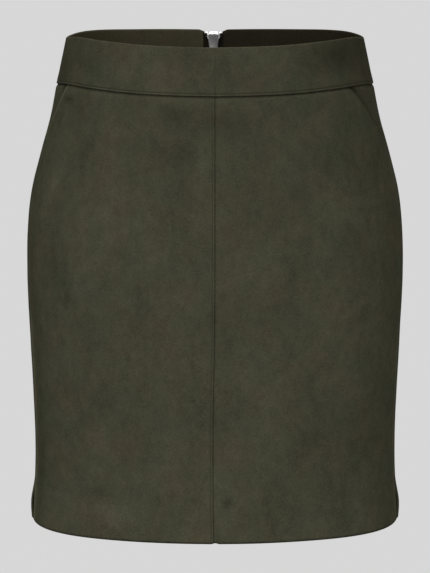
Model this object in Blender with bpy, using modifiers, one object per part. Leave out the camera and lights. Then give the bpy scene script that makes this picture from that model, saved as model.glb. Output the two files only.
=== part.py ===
"""A straight mini skirt in faux suede, filled out as worn and hollow.

Metres, +Z up. The origin is the middle of the waist opening, level with the waistband's top edge, and
the front faces -Y. Left and right are the wearer's, so the left is +X. Each piece of cloth is a grid
laid on the worn form by two measures: `along`, the distance round from the centre front at one height
(positive round the left side, negative round the right), and z. Its wall grows inwards from there.
"""

import math
from collections import namedtuple
from functools import lru_cache

import bmesh
import bpy
import numpy as np
from mathutils import Matrix, Vector

# Driving dimensions of the cut
BAND_SEAM_Z = -0.043  # where the waistband is sewn to the panels
HEM_Z = -0.450
HEM_TURN = 0.036  # depth of the turned-up hem
SLIT_TOP_Z = -0.412  # the side seams are open below this
SEAM_GAP = 0.0003
CLOTH = 0.0016  # one layer of faux suede
BAND_WALL = 0.0024  # outer layer and facing, pressed together
BAND_LAYER = 0.0012  # the outer layer alone, beside the zip
STEP_RUN = 0.0004  # run of a step between one layer and two
EDGE_STRIP = 0.004  # width of the narrow column of faces along a panel's cut edge
MERGE = 1e-6  # corners closer than this are one

# The worn form
Section = namedtuple("Section", "z half_width front_depth back_depth squareness")
SECTIONS = (
    Section(0.000, 0.1368, 0.0950, 0.0850, 2.05),
    Section(-0.022, 0.1415, 0.1015, 0.0910, 2.05),
    Section(-0.043, 0.1458, 0.1080, 0.0970, 2.08),
    Section(-0.072, 0.1515, 0.1115, 0.1050, 2.10),
    Section(-0.106, 0.1608, 0.1150, 0.1140, 2.15),
    Section(-0.143, 0.1699, 0.1172, 0.1225, 2.22),
    Section(-0.180, 0.1737, 0.1178, 0.1262, 2.30),
    Section(-0.218, 0.1744, 0.1180, 0.1270, 2.35),
    Section(-0.275, 0.1721, 0.1174, 0.1240, 2.42),
    Section(-0.332, 0.1694, 0.1170, 0.1210, 2.50),
    Section(-0.389, 0.1681, 0.1170, 0.1185, 2.55),
    Section(-0.450, 0.1708, 0.1175, 0.1190, 2.60),
)
OUTLINE_STEPS = 721  # samples of half a section, from centre front to centre back
SLOPE_STEP = 0.002  # step used to measure the cloth's slope

# The waistband isn't level: how far its edges rise, by share of the way from centre front to centre back
Rise = namedtuple("Rise", "share rise")
WAISTLINE = (
    Rise(0.00, 0.0000),
    Rise(0.18, 0.0011),
    Rise(0.30, 0.0029),
    Rise(0.39, 0.0037),
    Rise(0.51, -0.0004),
    Rise(0.64, 0.0012),
    Rise(0.80, -0.0004),
    Rise(1.00, -0.0020),
)
WAISTLINE_FADE_Z = -0.130  # the panels' grain is level again from here down

# Soft folds: a trough `depth` deep, round one point, fading out over the two half sizes
Fold = namedtuple("Fold", "along z half_width half_height depth")
FOLDS = (
    Fold(-0.150, -0.235, 0.045, 0.120, 0.0016),
    Fold(0.162, -0.255, 0.045, 0.125, 0.0015),
    Fold(-0.075, -0.330, 0.050, 0.110, 0.0010),
    Fold(0.095, -0.370, 0.050, 0.080, 0.0010),
    Fold(-0.350, -0.300, 0.045, 0.130, 0.0020),
    Fold(0.342, -0.285, 0.045, 0.140, 0.0020),
    Fold(-0.420, -0.345, 0.032, 0.095, 0.0014),
    Fold(0.428, -0.360, 0.030, 0.080, 0.0013),
)

# Side seams, side slits and centre front
SeamShift = namedtuple("SeamShift", "z forward")
SIDE_SEAM = (  # how far forward of the widest point the side seam runs
    SeamShift(0.000, 0.004),
    SeamShift(-0.110, 0.006),
    SeamShift(-0.260, 0.021),
    SeamShift(-0.450, 0.022),
)
SLIT_FLARE = 0.0035  # the back's edge stands out by this at the hem
SLIT_SPREAD = 0.003  # and is pulled back by this
SLIT_FADE = 0.060
FRONT_SEAM_SWAY = 0.0018  # the centre-front seam drifts to the right by this
FRONT_SEAM_SWAY_Z = -0.375
FRONT_SEAM_SWAY_REACH = 0.170

# Slant pockets: where the mouth starts at the band seam and where it meets the side seam
Pocket = namedtuple("Pocket", "side start end_z curve")
POCKETS = {
    "left": Pocket(1, 0.139, -0.124, 0.95),
    "right": Pocket(-1, 0.160, -0.098, 1.00),
}
POCKET_TUCK = 0.022  # how far the hip piece runs on under the front
POCKET_BELOW = 0.030  # and below the mouth
HIP_DEPTH = CLOTH + 0.0007  # the hip piece's outer face, where the front covers it
HIP_RISE = 0.022  # the run over which it comes up flush with the back

# Zip, sewn on behind the centre-back edges
BACK_SHIFT = 0.0015  # the zip and the seam below it sit this far to the right of the middle
ZIP_BOTTOM_Z = -0.183
ZIP_EDGE = 0.0070  # half the width of the cloth's opening
ZIP_EDGE_TOP = 0.0085  # and at the top edge, above the slider
ZIP_EDGE_TOP_REACH = 0.018
NOTCH_DROP = 0.004  # the band's corners round off downwards beside the slider
NOTCH_RUN = 0.006
FACING_EDGE = 0.0111  # the band's facing stops this far from the centre back
FACING_STRIP = 0.012  # width of the column of faces beside the facing's edge
TAPE = 0.0007
TAPE_EDGE_BAND = 0.0105  # the tape's outer edge in the band, where the facing stops it
TAPE_EDGE = 0.0150  # and below the band
TAPE_DEPTH_BAND = BAND_LAYER + SEAM_GAP
TAPE_DEPTH = CLOTH + SEAM_GAP
TAPE_SINK = 0.004  # run over which the tape goes from the band's depth to the panels'
TAPE_TAIL = 0.014  # how far the tape goes on below the zip
TAPE_STEP_Z = BAND_SEAM_Z - 0.003  # the tape has its full width below this
TAPE_STEP_RUN = 0.001
TAPE_PARTS_Z = -0.014  # above this the two tapes part
TAPE_PARTED_Z = -0.006  # until they are clear of the top stops
TAPE_TOP_Z = -0.001
TAPE_DROP_Z = -0.012  # above this the tape follows the band's rounded corner
CHAIN_HALF_WIDTH = 0.0029
CHAIN_WALL = 0.0026
CHAIN_IN_SLIDER = 0.0009  # the chain's top, above the slider's middle
CHAIN_END_GAP = 0.0005
SLIDER_Z = -0.0103
STOP_SIZE = Vector((0.0021, 0.0026, 0.0040))
STOP_X = 0.00645
STOP_UP = 0.0062  # above the slider's middle
STOP_ROUND = 0.0004
BOTTOM_STOP_SIZE = Vector((0.0062, 0.0030, 0.0034))
BOTTOM_STOP_UP = 0.0021  # above the end of the opening
SLIDER_GAP_HALF = 0.0016  # half the clear height between the slider's plates
SLIDER_SLOT_HALF = 0.0007  # half the height of the slots that the tapes leave by
SLIDER_REACH = 0.009  # past the slider's ends and sides, for what is cut through it
OUTER_PLATE_TOP = 0.0028
INNER_PLATE_TOP = -0.0027
METAL_SINK = 0.0004  # how far one joined piece of metal goes into the other
PIVOT_OUT = 0.00395
PIVOT_UP = 0.0010
BRIDGE_HALF_WIDTH = 0.0012
CROSSBAR_RADIUS = 0.00075
PULL_WALL = 0.0014

SUEDE = (0.050, 0.050, 0.031)
SUEDE_DARK = (0.030, 0.031, 0.020)
TAPE_CLOTH = (0.012, 0.012, 0.010)
CLOTH_ROUGHNESS = 0.9
STEEL = (0.62, 0.62, 0.60)
STEEL_ROUGHNESS = 0.3


# ---------------------------------------------------------------- the worn form


def smooth(t):
    """0 below t = 0, 1 above t = 1, with a soft start and end between."""
    t = min(max(t, 0.0), 1.0)
    return t * t * (3 - 2 * t)


def bump(t):
    """1 at t = 0, fading to 0 at t = -1 and t = 1."""
    return math.cos(min(abs(t), 1.0) * math.pi / 2) ** 2


def curve_through(table, column, at):
    """One column of a table, on a smooth curve through its rows, at a value of its first column."""
    rows = sorted(table, key=lambda row: row[0])
    places = np.array([row[0] for row in rows])
    values = np.array([getattr(row, column) for row in rows])
    slopes = np.gradient(values, places)
    at = min(max(at, places[0]), places[-1])
    i = min(int(np.searchsorted(places, at, side="right")) - 1, len(rows) - 2)
    span = places[i + 1] - places[i]
    t = (at - places[i]) / span
    return (
        (2 * t**3 - 3 * t**2 + 1) * values[i]
        + (t**3 - 2 * t**2 + t) * span * slopes[i]
        + (3 * t**2 - 2 * t**3) * values[i + 1]
        + (t**3 - t**2) * span * slopes[i + 1]
    )


@lru_cache(maxsize=None)
def outline_at(z):
    """Half of the section at height z, centre front to centre back: x, y and distance, as arrays."""
    half_width, front_depth, back_depth, squareness = (
        curve_through(SECTIONS, column, z) for column in Section._fields[1:]
    )
    turn = np.linspace(0, math.pi, OUTLINE_STEPS)
    depth = np.where(turn < math.pi / 2, front_depth, back_depth)
    x = half_width * np.abs(np.sin(turn)) ** (2 / squareness)
    y = -depth * np.sign(np.cos(turn)) * np.abs(np.cos(turn)) ** (2 / squareness)
    distance = np.concatenate(([0.0], np.cumsum(np.hypot(np.diff(x), np.diff(y)))))
    return x, y, distance


def half_girth(z):
    return outline_at(z)[2][-1]


def widest(z):
    """The distance from the centre front round to the widest point."""
    return outline_at(z)[2][OUTLINE_STEPS // 2]


def waist_rise(share, z):
    faded = (BAND_SEAM_Z - z) / (BAND_SEAM_Z - WAISTLINE_FADE_Z)
    return curve_through(WAISTLINE, "rise", share) * smooth(1 - faded)


def on_form(along, z):
    """A point of the bare form. Past the centre back it goes on up the other side."""
    x, y, distance = outline_at(z)
    side, reach = math.copysign(1, along), abs(along)
    if reach > distance[-1]:
        side, reach = -side, 2 * distance[-1] - reach
    height = z + waist_rise(reach / distance[-1], z)
    return Vector((side * np.interp(reach, distance, x), np.interp(reach, distance, y), height))


def outward(along, z):
    across = on_form(along + SLOPE_STEP, z) - on_form(along - SLOPE_STEP, z)
    top = min(z + SLOPE_STEP, 0.0)
    up = on_form(along, top) - on_form(along, z - SLOPE_STEP)
    return across.cross(up).normalized()


def fold_depth(along, z):
    return sum(
        fold.depth * bump((along - fold.along) / fold.half_width) * bump((z - fold.z) / fold.half_height)
        for fold in FOLDS
    )


def on_cloth(along, z, depth=0.0):
    """A point `depth` under the cloth's outer face, its soft folds included."""
    return on_form(along, z) - outward(along, z) * (depth + fold_depth(along, z))


# ---------------------------------------------------------------- lines of the cut


def front_seam(z):
    return -FRONT_SEAM_SWAY * bump((z - FRONT_SEAM_SWAY_Z) / FRONT_SEAM_SWAY_REACH)


def side_seam(z):
    return widest(z) - curve_through(SIDE_SEAM, "forward", z)


def slit_opening(z):
    """0 above the side slit, rising to 1 at the hem."""
    return smooth((SLIT_TOP_Z - z) / (SLIT_TOP_Z - HEM_Z))


def pocket_mouth(pocket, z):
    """Distance from the centre front to the pocket's mouth, or to the side seam below it."""
    if z <= pocket.end_z:
        return side_seam(z)
    share = (BAND_SEAM_Z - z) / (BAND_SEAM_Z - pocket.end_z)
    end = side_seam(pocket.end_z)
    return min(pocket.start + (end - pocket.start) * share**pocket.curve, side_seam(z))


def zip_edge(z):
    """Distance from the centre back to the cloth's edge beside the zip."""
    return ZIP_EDGE + (ZIP_EDGE_TOP - ZIP_EDGE) * smooth((z + ZIP_EDGE_TOP_REACH) / ZIP_EDGE_TOP_REACH)


def band_top(distance):
    """Height of the waistband's top edge, which rounds off beside the zip, at a distance from it."""
    corner = 1 - min(max((distance - ZIP_EDGE_TOP) / NOTCH_RUN, 0.0), 1.0)
    return -NOTCH_DROP * corner**2


def back_line(side, z):
    """How far round each side the middle of the zip lies, and the seam below it."""
    return half_girth(z) + side * BACK_SHIFT


def tape_depth(z):
    share = smooth((BAND_SEAM_Z + TAPE_SINK / 2 - z) / TAPE_SINK)
    return TAPE_DEPTH_BAND + (TAPE_DEPTH - TAPE_DEPTH_BAND) * share


# ---------------------------------------------------------------- building


def subdivided(marks, counts):
    """The marks, with counts[i] even steps from mark i to the next."""
    values = [
        first + (second - first) * i / count
        for first, second, count in zip(marks, marks[1:], counts)
        for i in range(count)
    ]
    return values + [marks[-1]]


def between(marks, station):
    """The value at a station, where station 0 is the first mark, 1 the second and so on."""
    return float(np.interp(station, range(len(marks)), marks))


def material(name, colour, roughness, metallic=0.0):
    made = bpy.data.materials.new(name)
    made.use_nodes = True
    shader = made.node_tree.nodes["Principled BSDF"]
    shader.inputs["Base Color"].default_value = (*colour, 1.0)
    shader.inputs["Roughness"].default_value = roughness
    shader.inputs["Metallic"].default_value = metallic
    return made


def finish(shape, colour, roughness, metallic=0.0):
    shape.data.materials.clear()
    shape.data.materials.append(material(f"{shape.name}_finish", colour, roughness, metallic))
    PARTS.objects.link(shape)


def laid_sheet(name, stations, heights, place, wall, mirrored, colour, share=None):
    """A grid whose corners place(station, height) puts on the form, walled inwards by Solidify.

    share(station, height) thins the wall where it is given. Heights run upwards and stations away
    from the centre front, so a right-hand piece is mirrored and has its faces turned.
    """
    grid = bmesh.new()
    columns, rows = len(stations) - 1, len(heights) - 1
    bmesh.ops.create_grid(grid, x_segments=columns, y_segments=rows, size=0.5)
    walls = {}
    for vertex in grid.verts:
        station = stations[round((vertex.co.x + 0.5) * columns)]
        height = heights[round((vertex.co.y + 0.5) * rows)]
        vertex.co = place(station, height)
        walls[vertex.index] = share(station, height) if share else 1.0
    if mirrored:
        bmesh.ops.reverse_faces(grid, faces=grid.faces[:])
    mesh = bpy.data.meshes.new(name)
    grid.to_mesh(mesh)
    grid.free()
    mesh.shade_smooth()
    shape = bpy.data.objects.new(name, mesh)
    solidify = shape.modifiers.new("wall", "SOLIDIFY")
    solidify.thickness = wall
    solidify.offset = -1
    if share:
        group = shape.vertex_groups.new(name="wall")
        for index, weight in walls.items():
            group.add([index], weight, "REPLACE")
        solidify.vertex_group = group.name
    finish(shape, colour, CLOTH_ROUGHNESS)


def hem_share(station, height):
    """One layer above the turned-up hem and two in it."""
    return 1.0 if height < HEM_Z + HEM_TURN else 0.5


def hem_rows():
    """Marks of height for a panel's hem and slit, and the steps between them."""
    turn = HEM_Z + HEM_TURN
    return [HEM_Z, turn - STEP_RUN, turn, SLIT_TOP_Z], [3, 1, 1]


def front_panel(name, pocket):
    side = pocket.side
    top = BAND_SEAM_Z - SEAM_GAP / 2
    marks, counts = hem_rows()
    heights = subdivided(marks + [pocket.end_z, top], counts + [16, 7])

    def place(station, z):
        inner = side * front_seam(z) + SEAM_GAP / 2
        outer = pocket_mouth(pocket, z) - SEAM_GAP / 2
        lines = [inner, inner + EDGE_STRIP, outer - EDGE_STRIP, outer]
        return on_cloth(side * between(lines, station), z)

    stations = subdivided([0, 1, 2, 3], [1, 14, 1])
    laid_sheet(name, stations, heights, place, 2 * CLOTH, side < 0, SUEDE, hem_share)


def hip_piece(name, pocket):
    side = pocket.side
    top = BAND_SEAM_Z - SEAM_GAP / 2
    bottom = pocket.end_z - POCKET_BELOW
    heights = subdivided([bottom, pocket.end_z, top], [2, 8])

    def place(station, z):
        mouth = pocket_mouth(pocket, z)
        seam = side_seam(z)
        shows = seam - mouth >= SEAM_GAP
        middle = mouth if shows else mouth - POCKET_TUCK / 2
        along = between([mouth - POCKET_TUCK, middle, seam - SEAM_GAP / 2], station)
        flush = smooth((along - mouth) / HIP_RISE) if z > pocket.end_z else 0.0
        return on_cloth(side * along, z, HIP_DEPTH * (1 - flush))

    stations = subdivided([0, 1, 2], [3, 7])
    laid_sheet(name, stations, heights, place, CLOTH, side < 0, SUEDE_DARK)


def back_panel(name, side):
    top = BAND_SEAM_Z - SEAM_GAP / 2
    marks, counts = hem_rows()
    window = [ZIP_BOTTOM_Z - STEP_RUN, ZIP_BOTTOM_Z]
    heights = subdivided(marks + window + [top], counts + [14, 1, 9])

    def place(station, z):
        opening = slit_opening(z)
        outer = side_seam(z) + SEAM_GAP / 2 + SLIT_SPREAD * opening
        edge = zip_edge(z) if z >= ZIP_BOTTOM_Z else SEAM_GAP / 2
        inner = back_line(side, z) - edge
        along = between([outer, outer + EDGE_STRIP, inner - EDGE_STRIP, inner], station)
        lift = SLIT_FLARE * opening * (1 - smooth((along - outer) / SLIT_FADE))
        return on_cloth(side * along, z, -lift)

    stations = subdivided([0, 1, 2, 3], [1, 15, 1])
    laid_sheet(name, stations, heights, place, 2 * CLOTH, side < 0, SUEDE, hem_share)


def waistband(name, side):
    """Half of the waistband, from the centre-front seam round to the zip."""
    bottom = BAND_SEAM_Z + SEAM_GAP / 2

    def along_at(station, z):
        facing = back_line(side, z) - FACING_EDGE
        edge = back_line(side, z) - zip_edge(z)
        return between([SEAM_GAP / 2, facing - FACING_STRIP, facing - STEP_RUN, facing, edge], station)

    def place(station, height):
        top = band_top(back_line(side, 0.0) - along_at(station, 0.0))
        z = bottom + (top - bottom) * height
        return on_cloth(side * along_at(station, z), z)

    def share(station, height):
        return 1.0 if station <= 2 else BAND_LAYER / BAND_WALL

    stations = subdivided([0, 1, 2, 3, 4], [36, 1, 1, 2])
    laid_sheet(name, stations, subdivided([0.0, 1.0], [4]), place, BAND_WALL, side < 0, SUEDE, share)


def zip_tape(name, side):
    marks = [
        ZIP_BOTTOM_Z - TAPE_TAIL,
        TAPE_STEP_Z,
        TAPE_STEP_Z + TAPE_STEP_RUN,
        TAPE_PARTS_Z,
        TAPE_PARTED_Z,
        TAPE_TOP_Z,
    ]
    heights = subdivided(marks, [12, 1, 4, 3, 1])

    def place(station, z):
        parted = smooth((z - TAPE_PARTS_Z) / (TAPE_PARTED_Z - TAPE_PARTS_Z))
        inner = CHAIN_HALF_WIDTH + SEAM_GAP
        inner += (STOP_X + STOP_SIZE.x / 2 - CHAIN_HALF_WIDTH) * parted
        outer = TAPE_EDGE_BAND if z > TAPE_STEP_Z else TAPE_EDGE
        distance = between([inner, outer], station)
        z += smooth((z - TAPE_DROP_Z) / (TAPE_TOP_Z - TAPE_DROP_Z)) * band_top(distance)
        return on_cloth(side * (back_line(side, z) - distance), z, tape_depth(z))

    laid_sheet(name, subdivided([1, 0], [2]), heights, place, TAPE, side < 0, TAPE_CLOTH)


def zip_chain(name):
    """The closed chain of teeth, as one strip of their outer size."""
    bottom = ZIP_BOTTOM_Z + BOTTOM_STOP_UP + BOTTOM_STOP_SIZE.z / 2 + CHAIN_END_GAP
    heights = subdivided([bottom, SLIDER_Z + CHAIN_IN_SLIDER], [14])

    def place(station, z):
        depth = tape_depth(z) + TAPE / 2 - CHAIN_WALL / 2
        return on_cloth(back_line(1, z) + station * CHAIN_HALF_WIDTH, z, depth)

    laid_sheet(name, [-1, 1], heights, place, CHAIN_WALL, False, STEEL)


def back_frame(z):
    """At the middle of the tape at the centre back: x across, y outwards, z up the cloth."""
    out = outward(back_line(1, z), z)
    place = on_cloth(back_line(1, z), z, tape_depth(z) + TAPE / 2)
    tilt = math.atan2(out.z, out.y)
    return Matrix.Translation(place) @ Matrix.Rotation(tilt, 4, "X")


def flat_plate(name, outlines, low, high, facing="Y"):
    """A mesh of flat outlines filled in and given thickness along one axis, from low to high.

    Facing Y, an outline's points are (x, z). Facing X, they are (y, z).
    """
    curve = bpy.data.curves.new(name, "CURVE")
    curve.dimensions = "2D"
    curve.fill_mode = "BOTH"
    curve.extrude = (high - low) / 2
    for outline in outlines:
        spline = curve.splines.new("POLY")
        spline.points.add(len(outline) - 1)
        for point, (first, second) in zip(spline.points, outline):
            point.co = (first, second, 0, 1)
        spline.use_cyclic_u = True
    holder = bpy.data.objects.new(name, curve)
    bpy.context.scene.collection.objects.link(holder)
    bpy.context.view_layer.update()
    mesh = bpy.data.meshes.new_from_object(holder.evaluated_get(bpy.context.evaluated_depsgraph_get()))
    bpy.data.objects.remove(holder)
    work = bmesh.new()
    work.from_mesh(mesh)
    bmesh.ops.remove_doubles(work, verts=work.verts, dist=MERGE)
    turn = Matrix.Rotation(math.pi / 2, 4, "X")
    middle = Vector((0, (low + high) / 2, 0))
    if facing == "X":
        turn = Matrix.Rotation(math.pi / 2, 4, "Z") @ turn
        middle = Vector(((low + high) / 2, 0, 0))
    bmesh.ops.transform(work, matrix=Matrix.Translation(middle) @ turn, verts=work.verts)
    bmesh.ops.recalc_face_normals(work, faces=work.faces)
    work.to_mesh(mesh)
    work.free()
    mesh.name = name
    return bpy.data.objects.new(name, mesh)


def bar(name, start, end, radius, sides=20):
    """A round bar along X."""
    work = bmesh.new()
    length = end - start
    matrix = Matrix.Translation(((start + end) / 2, 0, 0)) @ Matrix.Rotation(math.pi / 2, 4, "Y")
    bmesh.ops.create_cone(
        work, cap_ends=True, segments=sides, radius1=radius, radius2=radius, depth=length, matrix=matrix
    )
    mesh = bpy.data.meshes.new(name)
    work.to_mesh(mesh)
    work.free()
    return bpy.data.objects.new(name, mesh)


def combine(shape, other, operation):
    """Adds a Boolean with `other`, which joins the hidden cutters."""
    CUTTERS.objects.link(other)
    other.hide_render = True
    other.display_type = "WIRE"
    other.matrix_world = shape.matrix_world
    boolean = shape.modifiers.new(other.name, "BOOLEAN")
    boolean.operation = operation
    boolean.solver = "EXACT"
    boolean.object = other


def mirrored_outline(half):
    """The half outline and its mirror image, as one loop."""
    return half + [(-x, z) for x, z in reversed(half)]


def slider():
    """The slider body: a shield-shaped block with the chain's way and the tapes' slot cut through."""
    half = [
        (0.0022, 0.0077),
        (0.0042, 0.0072),
        (0.0051, 0.0059),
        (0.0051, 0.0036),
        (0.0043, -0.0010),
        (0.0040, -0.0062),
        (0.0031, -0.0077),
    ]
    body = flat_plate("zip_slider", [mirrored_outline(half)], INNER_PLATE_TOP, OUTER_PLATE_TOP)
    body.matrix_world = back_frame(SLIDER_Z)
    end = SLIDER_REACH
    way = mirrored_outline([(0.0043, end), (0.00325, 0.0), (0.00325, -end)])
    slot = mirrored_outline([(end, end), (end, -end)])
    diamond = [(0.0, 0.0074), (0.0016, 0.0052), (0.0, 0.0015), (-0.0016, 0.0052)]
    post = SLIDER_GAP_HALF + METAL_SINK
    combine(body, flat_plate("slider_way", [way], -SLIDER_GAP_HALF, SLIDER_GAP_HALF), "DIFFERENCE")
    combine(body, flat_plate("slider_slot", [slot], -SLIDER_SLOT_HALF, SLIDER_SLOT_HALF), "DIFFERENCE")
    combine(body, flat_plate("slider_diamond", [diamond], -post, post), "UNION")
    combine(body, bridge(), "UNION")
    finish(body, STEEL, STEEL_ROUGHNESS, 1.0)
    return body


def bridge():
    """The arch on the slider's outer plate that holds the pull tab, as a profile in y and z."""
    foot = OUTER_PLATE_TOP - METAL_SINK
    outer = [(foot, 0.0032), (0.0052, 0.0032), (0.0061, 0.0023)]
    inner = [(0.0051, 0.0015), (0.0046, 0.0020), (foot, 0.0020)]
    outline = [(y, PIVOT_UP + z) for y, z in outer]
    outline += [(y, PIVOT_UP - z) for y, z in reversed(outer)]
    outline += [(y, PIVOT_UP - z) for y, z in reversed(inner)]
    outline += [(y, PIVOT_UP + z) for y, z in inner]
    return flat_plate("slider_bridge", [outline], -BRIDGE_HALF_WIDTH, BRIDGE_HALF_WIDTH, "X")


def pull_tab(body):
    """The pull: a tab with a window, hung by its crossbar in the slider's bridge."""
    pivot = bpy.data.objects.new("pull_pivot", None)
    pivot.matrix_world = body.matrix_world @ Matrix.Translation((0, PIVOT_OUT, PIVOT_UP))
    PARTS.objects.link(pivot)
    half = [
        (0.0034, 0.0),
        (0.0034, -0.0060),
        (0.0040, -0.0100),
        (0.0042, -0.0275),
        (0.0037, -0.0297),
        (0.0023, -0.0310),
    ]
    window = [(0.00175, 0.0002), (0.00175, -0.0042), (0.0012, -0.0047)]
    tab = flat_plate("zip_pull", [mirrored_outline(half)], -PULL_WALL / 2, PULL_WALL / 2)
    tab.matrix_world = pivot.matrix_world
    ear = half[0][0]
    cutter = flat_plate("pull_window", [mirrored_outline(window)], -PULL_WALL, PULL_WALL)
    combine(tab, cutter, "DIFFERENCE")
    combine(tab, bar("pull_crossbar", -ear, ear, CROSSBAR_RADIUS), "UNION")
    finish(tab, STEEL, STEEL_ROUGHNESS, 1.0)
    tab.parent = pivot
    tab.matrix_parent_inverse = pivot.matrix_world.inverted()


def block(name, size, matrix):
    """A stop: a small block of metal with rounded edges, clamped round the tape."""
    work = bmesh.new()
    bmesh.ops.create_cube(work, size=1.0)
    bmesh.ops.scale(work, vec=size, verts=work.verts)
    mesh = bpy.data.meshes.new(name)
    work.to_mesh(mesh)
    work.free()
    shape = bpy.data.objects.new(name, mesh)
    shape.matrix_world = matrix
    bevel = shape.modifiers.new("edges", "BEVEL")
    bevel.width = STOP_ROUND
    bevel.segments = 2
    finish(shape, STEEL, STEEL_ROUGHNESS, 1.0)


def new_collection(name):
    made = bpy.data.collections.new(name)
    bpy.context.scene.collection.children.link(made)
    return made


for leftover in list(bpy.data.objects):
    bpy.data.objects.remove(leftover)
PARTS = new_collection("mini_skirt")
CUTTERS = new_collection("cutters")

for side_name, pocket in POCKETS.items():
    front_panel(f"front_panel_{side_name}", pocket)
    hip_piece(f"hip_piece_{side_name}", pocket)
    back_panel(f"back_panel_{side_name}", pocket.side)
    waistband(f"waistband_{side_name}", pocket.side)
    zip_tape(f"zip_tape_{side_name}", pocket.side)
    stop_place = Matrix.Translation((pocket.side * STOP_X, 0, STOP_UP))
    block(f"zip_top_stop_{side_name}", STOP_SIZE, back_frame(SLIDER_Z) @ stop_place)

zip_chain("zip_chain")
pull_tab(slider())
block("zip_bottom_stop", BOTTOM_STOP_SIZE, back_frame(ZIP_BOTTOM_Z + BOTTOM_STOP_UP))
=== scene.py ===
# %% [markdown]
# # A straight mini skirt in faux suede
#
# This lesson dresses a finished construction model of a skirt. The model is the fixed frame: it gives
# every piece its size and place. Here each plain wall gets a thin cloth shell with folded edges, seams
# and stitches, and the zip gets its teeth and tapes. The wearer's left is +X and the front faces -Y.

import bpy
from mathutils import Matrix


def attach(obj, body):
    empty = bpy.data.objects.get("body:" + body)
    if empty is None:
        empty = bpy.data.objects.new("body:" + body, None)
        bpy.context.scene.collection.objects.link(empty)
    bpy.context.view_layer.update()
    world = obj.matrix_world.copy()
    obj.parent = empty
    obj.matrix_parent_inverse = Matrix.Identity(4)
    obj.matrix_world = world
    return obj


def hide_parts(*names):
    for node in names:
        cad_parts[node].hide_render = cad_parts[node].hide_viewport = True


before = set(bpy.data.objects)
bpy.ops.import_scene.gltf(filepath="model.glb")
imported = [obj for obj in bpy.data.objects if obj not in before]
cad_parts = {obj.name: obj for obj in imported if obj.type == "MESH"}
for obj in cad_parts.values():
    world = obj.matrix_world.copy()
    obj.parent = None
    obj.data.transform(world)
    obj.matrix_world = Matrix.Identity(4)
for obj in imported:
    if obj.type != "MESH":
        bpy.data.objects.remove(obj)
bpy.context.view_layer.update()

# %% [markdown]
# ## The worn form
#
# On the real skirt one curved surface carries every panel. It could be read off the frame's faces, but
# those are coarse. The frame was made from a short table of sections, so the same table is repeated
# here, and a point of the cloth is named by two measures: `along`, the distance round from the centre
# front at one height, and z.

# %% Sections of the form
import math
from collections import namedtuple
from functools import lru_cache, partial

import bpy
import numpy as np
from mathutils import Matrix, Vector, noise

Section = namedtuple("Section", "z half_width front_depth back_depth squareness")
SECTIONS = (
    Section(0.000, 0.1368, 0.0950, 0.0850, 2.05),
    Section(-0.022, 0.1415, 0.1015, 0.0910, 2.05),
    Section(-0.043, 0.1458, 0.1080, 0.0970, 2.08),
    Section(-0.072, 0.1515, 0.1115, 0.1050, 2.10),
    Section(-0.106, 0.1608, 0.1150, 0.1140, 2.15),
    Section(-0.143, 0.1699, 0.1172, 0.1225, 2.22),
    Section(-0.180, 0.1737, 0.1178, 0.1262, 2.30),
    Section(-0.218, 0.1744, 0.1180, 0.1270, 2.35),
    Section(-0.275, 0.1721, 0.1174, 0.1240, 2.42),
    Section(-0.332, 0.1694, 0.1170, 0.1210, 2.50),
    Section(-0.389, 0.1681, 0.1170, 0.1185, 2.55),
    Section(-0.450, 0.1708, 0.1175, 0.1190, 2.60),
)
OUTLINE_STEPS = 721
SLOPE_STEP = 0.002
BAND_SEAM_Z = -0.043
HEM_Z = -0.450

Rise = namedtuple("Rise", "share rise")
WAISTLINE = (
    Rise(0.00, 0.0000),
    Rise(0.18, 0.0011),
    Rise(0.30, 0.0029),
    Rise(0.39, 0.0037),
    Rise(0.51, -0.0004),
    Rise(0.64, 0.0012),
    Rise(0.80, -0.0004),
    Rise(1.00, -0.0020),
)
WAISTLINE_FADE_Z = -0.130
HEM_SAG = 0.0014  # the hem hangs lowest at the front, and the seam there draws it up a little
HEM_SAG_HALF = 0.115
HEM_SAG_TOP_Z = -0.400
HEM_SAG_RUN = 0.050
HEM_NOTCH = 0.0008
HEM_NOTCH_HALF = 0.004
HEM_NOTCH_TOP_Z = -0.446
HEM_NOTCH_RUN = 0.003


def smooth(t):
    t = np.clip(t, 0.0, 1.0)
    return t * t * (3 - 2 * t)


def bump(t):
    """1 at t = 0, fading to 0 at t = -1 and t = 1."""
    return np.cos(np.minimum(np.abs(t), 1.0) * math.pi / 2) ** 2


def curve_through(table, column, at):
    """One column of a table, on a smooth curve through its rows."""
    rows = sorted(table, key=lambda row: row[0])
    places = np.array([row[0] for row in rows])
    values = np.array([getattr(row, column) for row in rows])
    slopes = np.gradient(values, places)
    at = np.clip(at, places[0], places[-1])
    i = np.clip(np.searchsorted(places, at, side="right") - 1, 0, len(rows) - 2)
    span = places[i + 1] - places[i]
    t = (at - places[i]) / span
    start = (2 * t**3 - 3 * t**2 + 1) * values[i] + (t**3 - 2 * t**2 + t) * span * slopes[i]
    end = (3 * t**2 - 2 * t**3) * values[i + 1] + (t**3 - t**2) * span * slopes[i + 1]
    return start + end


@lru_cache(maxsize=None)
def outline_at(z):
    """Half of the section at one height, centre front to centre back: x, y and distance."""
    half_width, front_depth, back_depth, squareness = (
        float(curve_through(SECTIONS, column, z)) for column in Section._fields[1:]
    )
    turn = np.linspace(0, math.pi, OUTLINE_STEPS)
    depth = np.where(turn < math.pi / 2, front_depth, back_depth)
    x = half_width * np.abs(np.sin(turn)) ** (2 / squareness)
    y = -depth * np.sign(np.cos(turn)) * np.abs(np.cos(turn)) ** (2 / squareness)
    distance = np.concatenate(([0.0], np.cumsum(np.hypot(np.diff(x), np.diff(y)))))
    return x, y, distance


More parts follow.
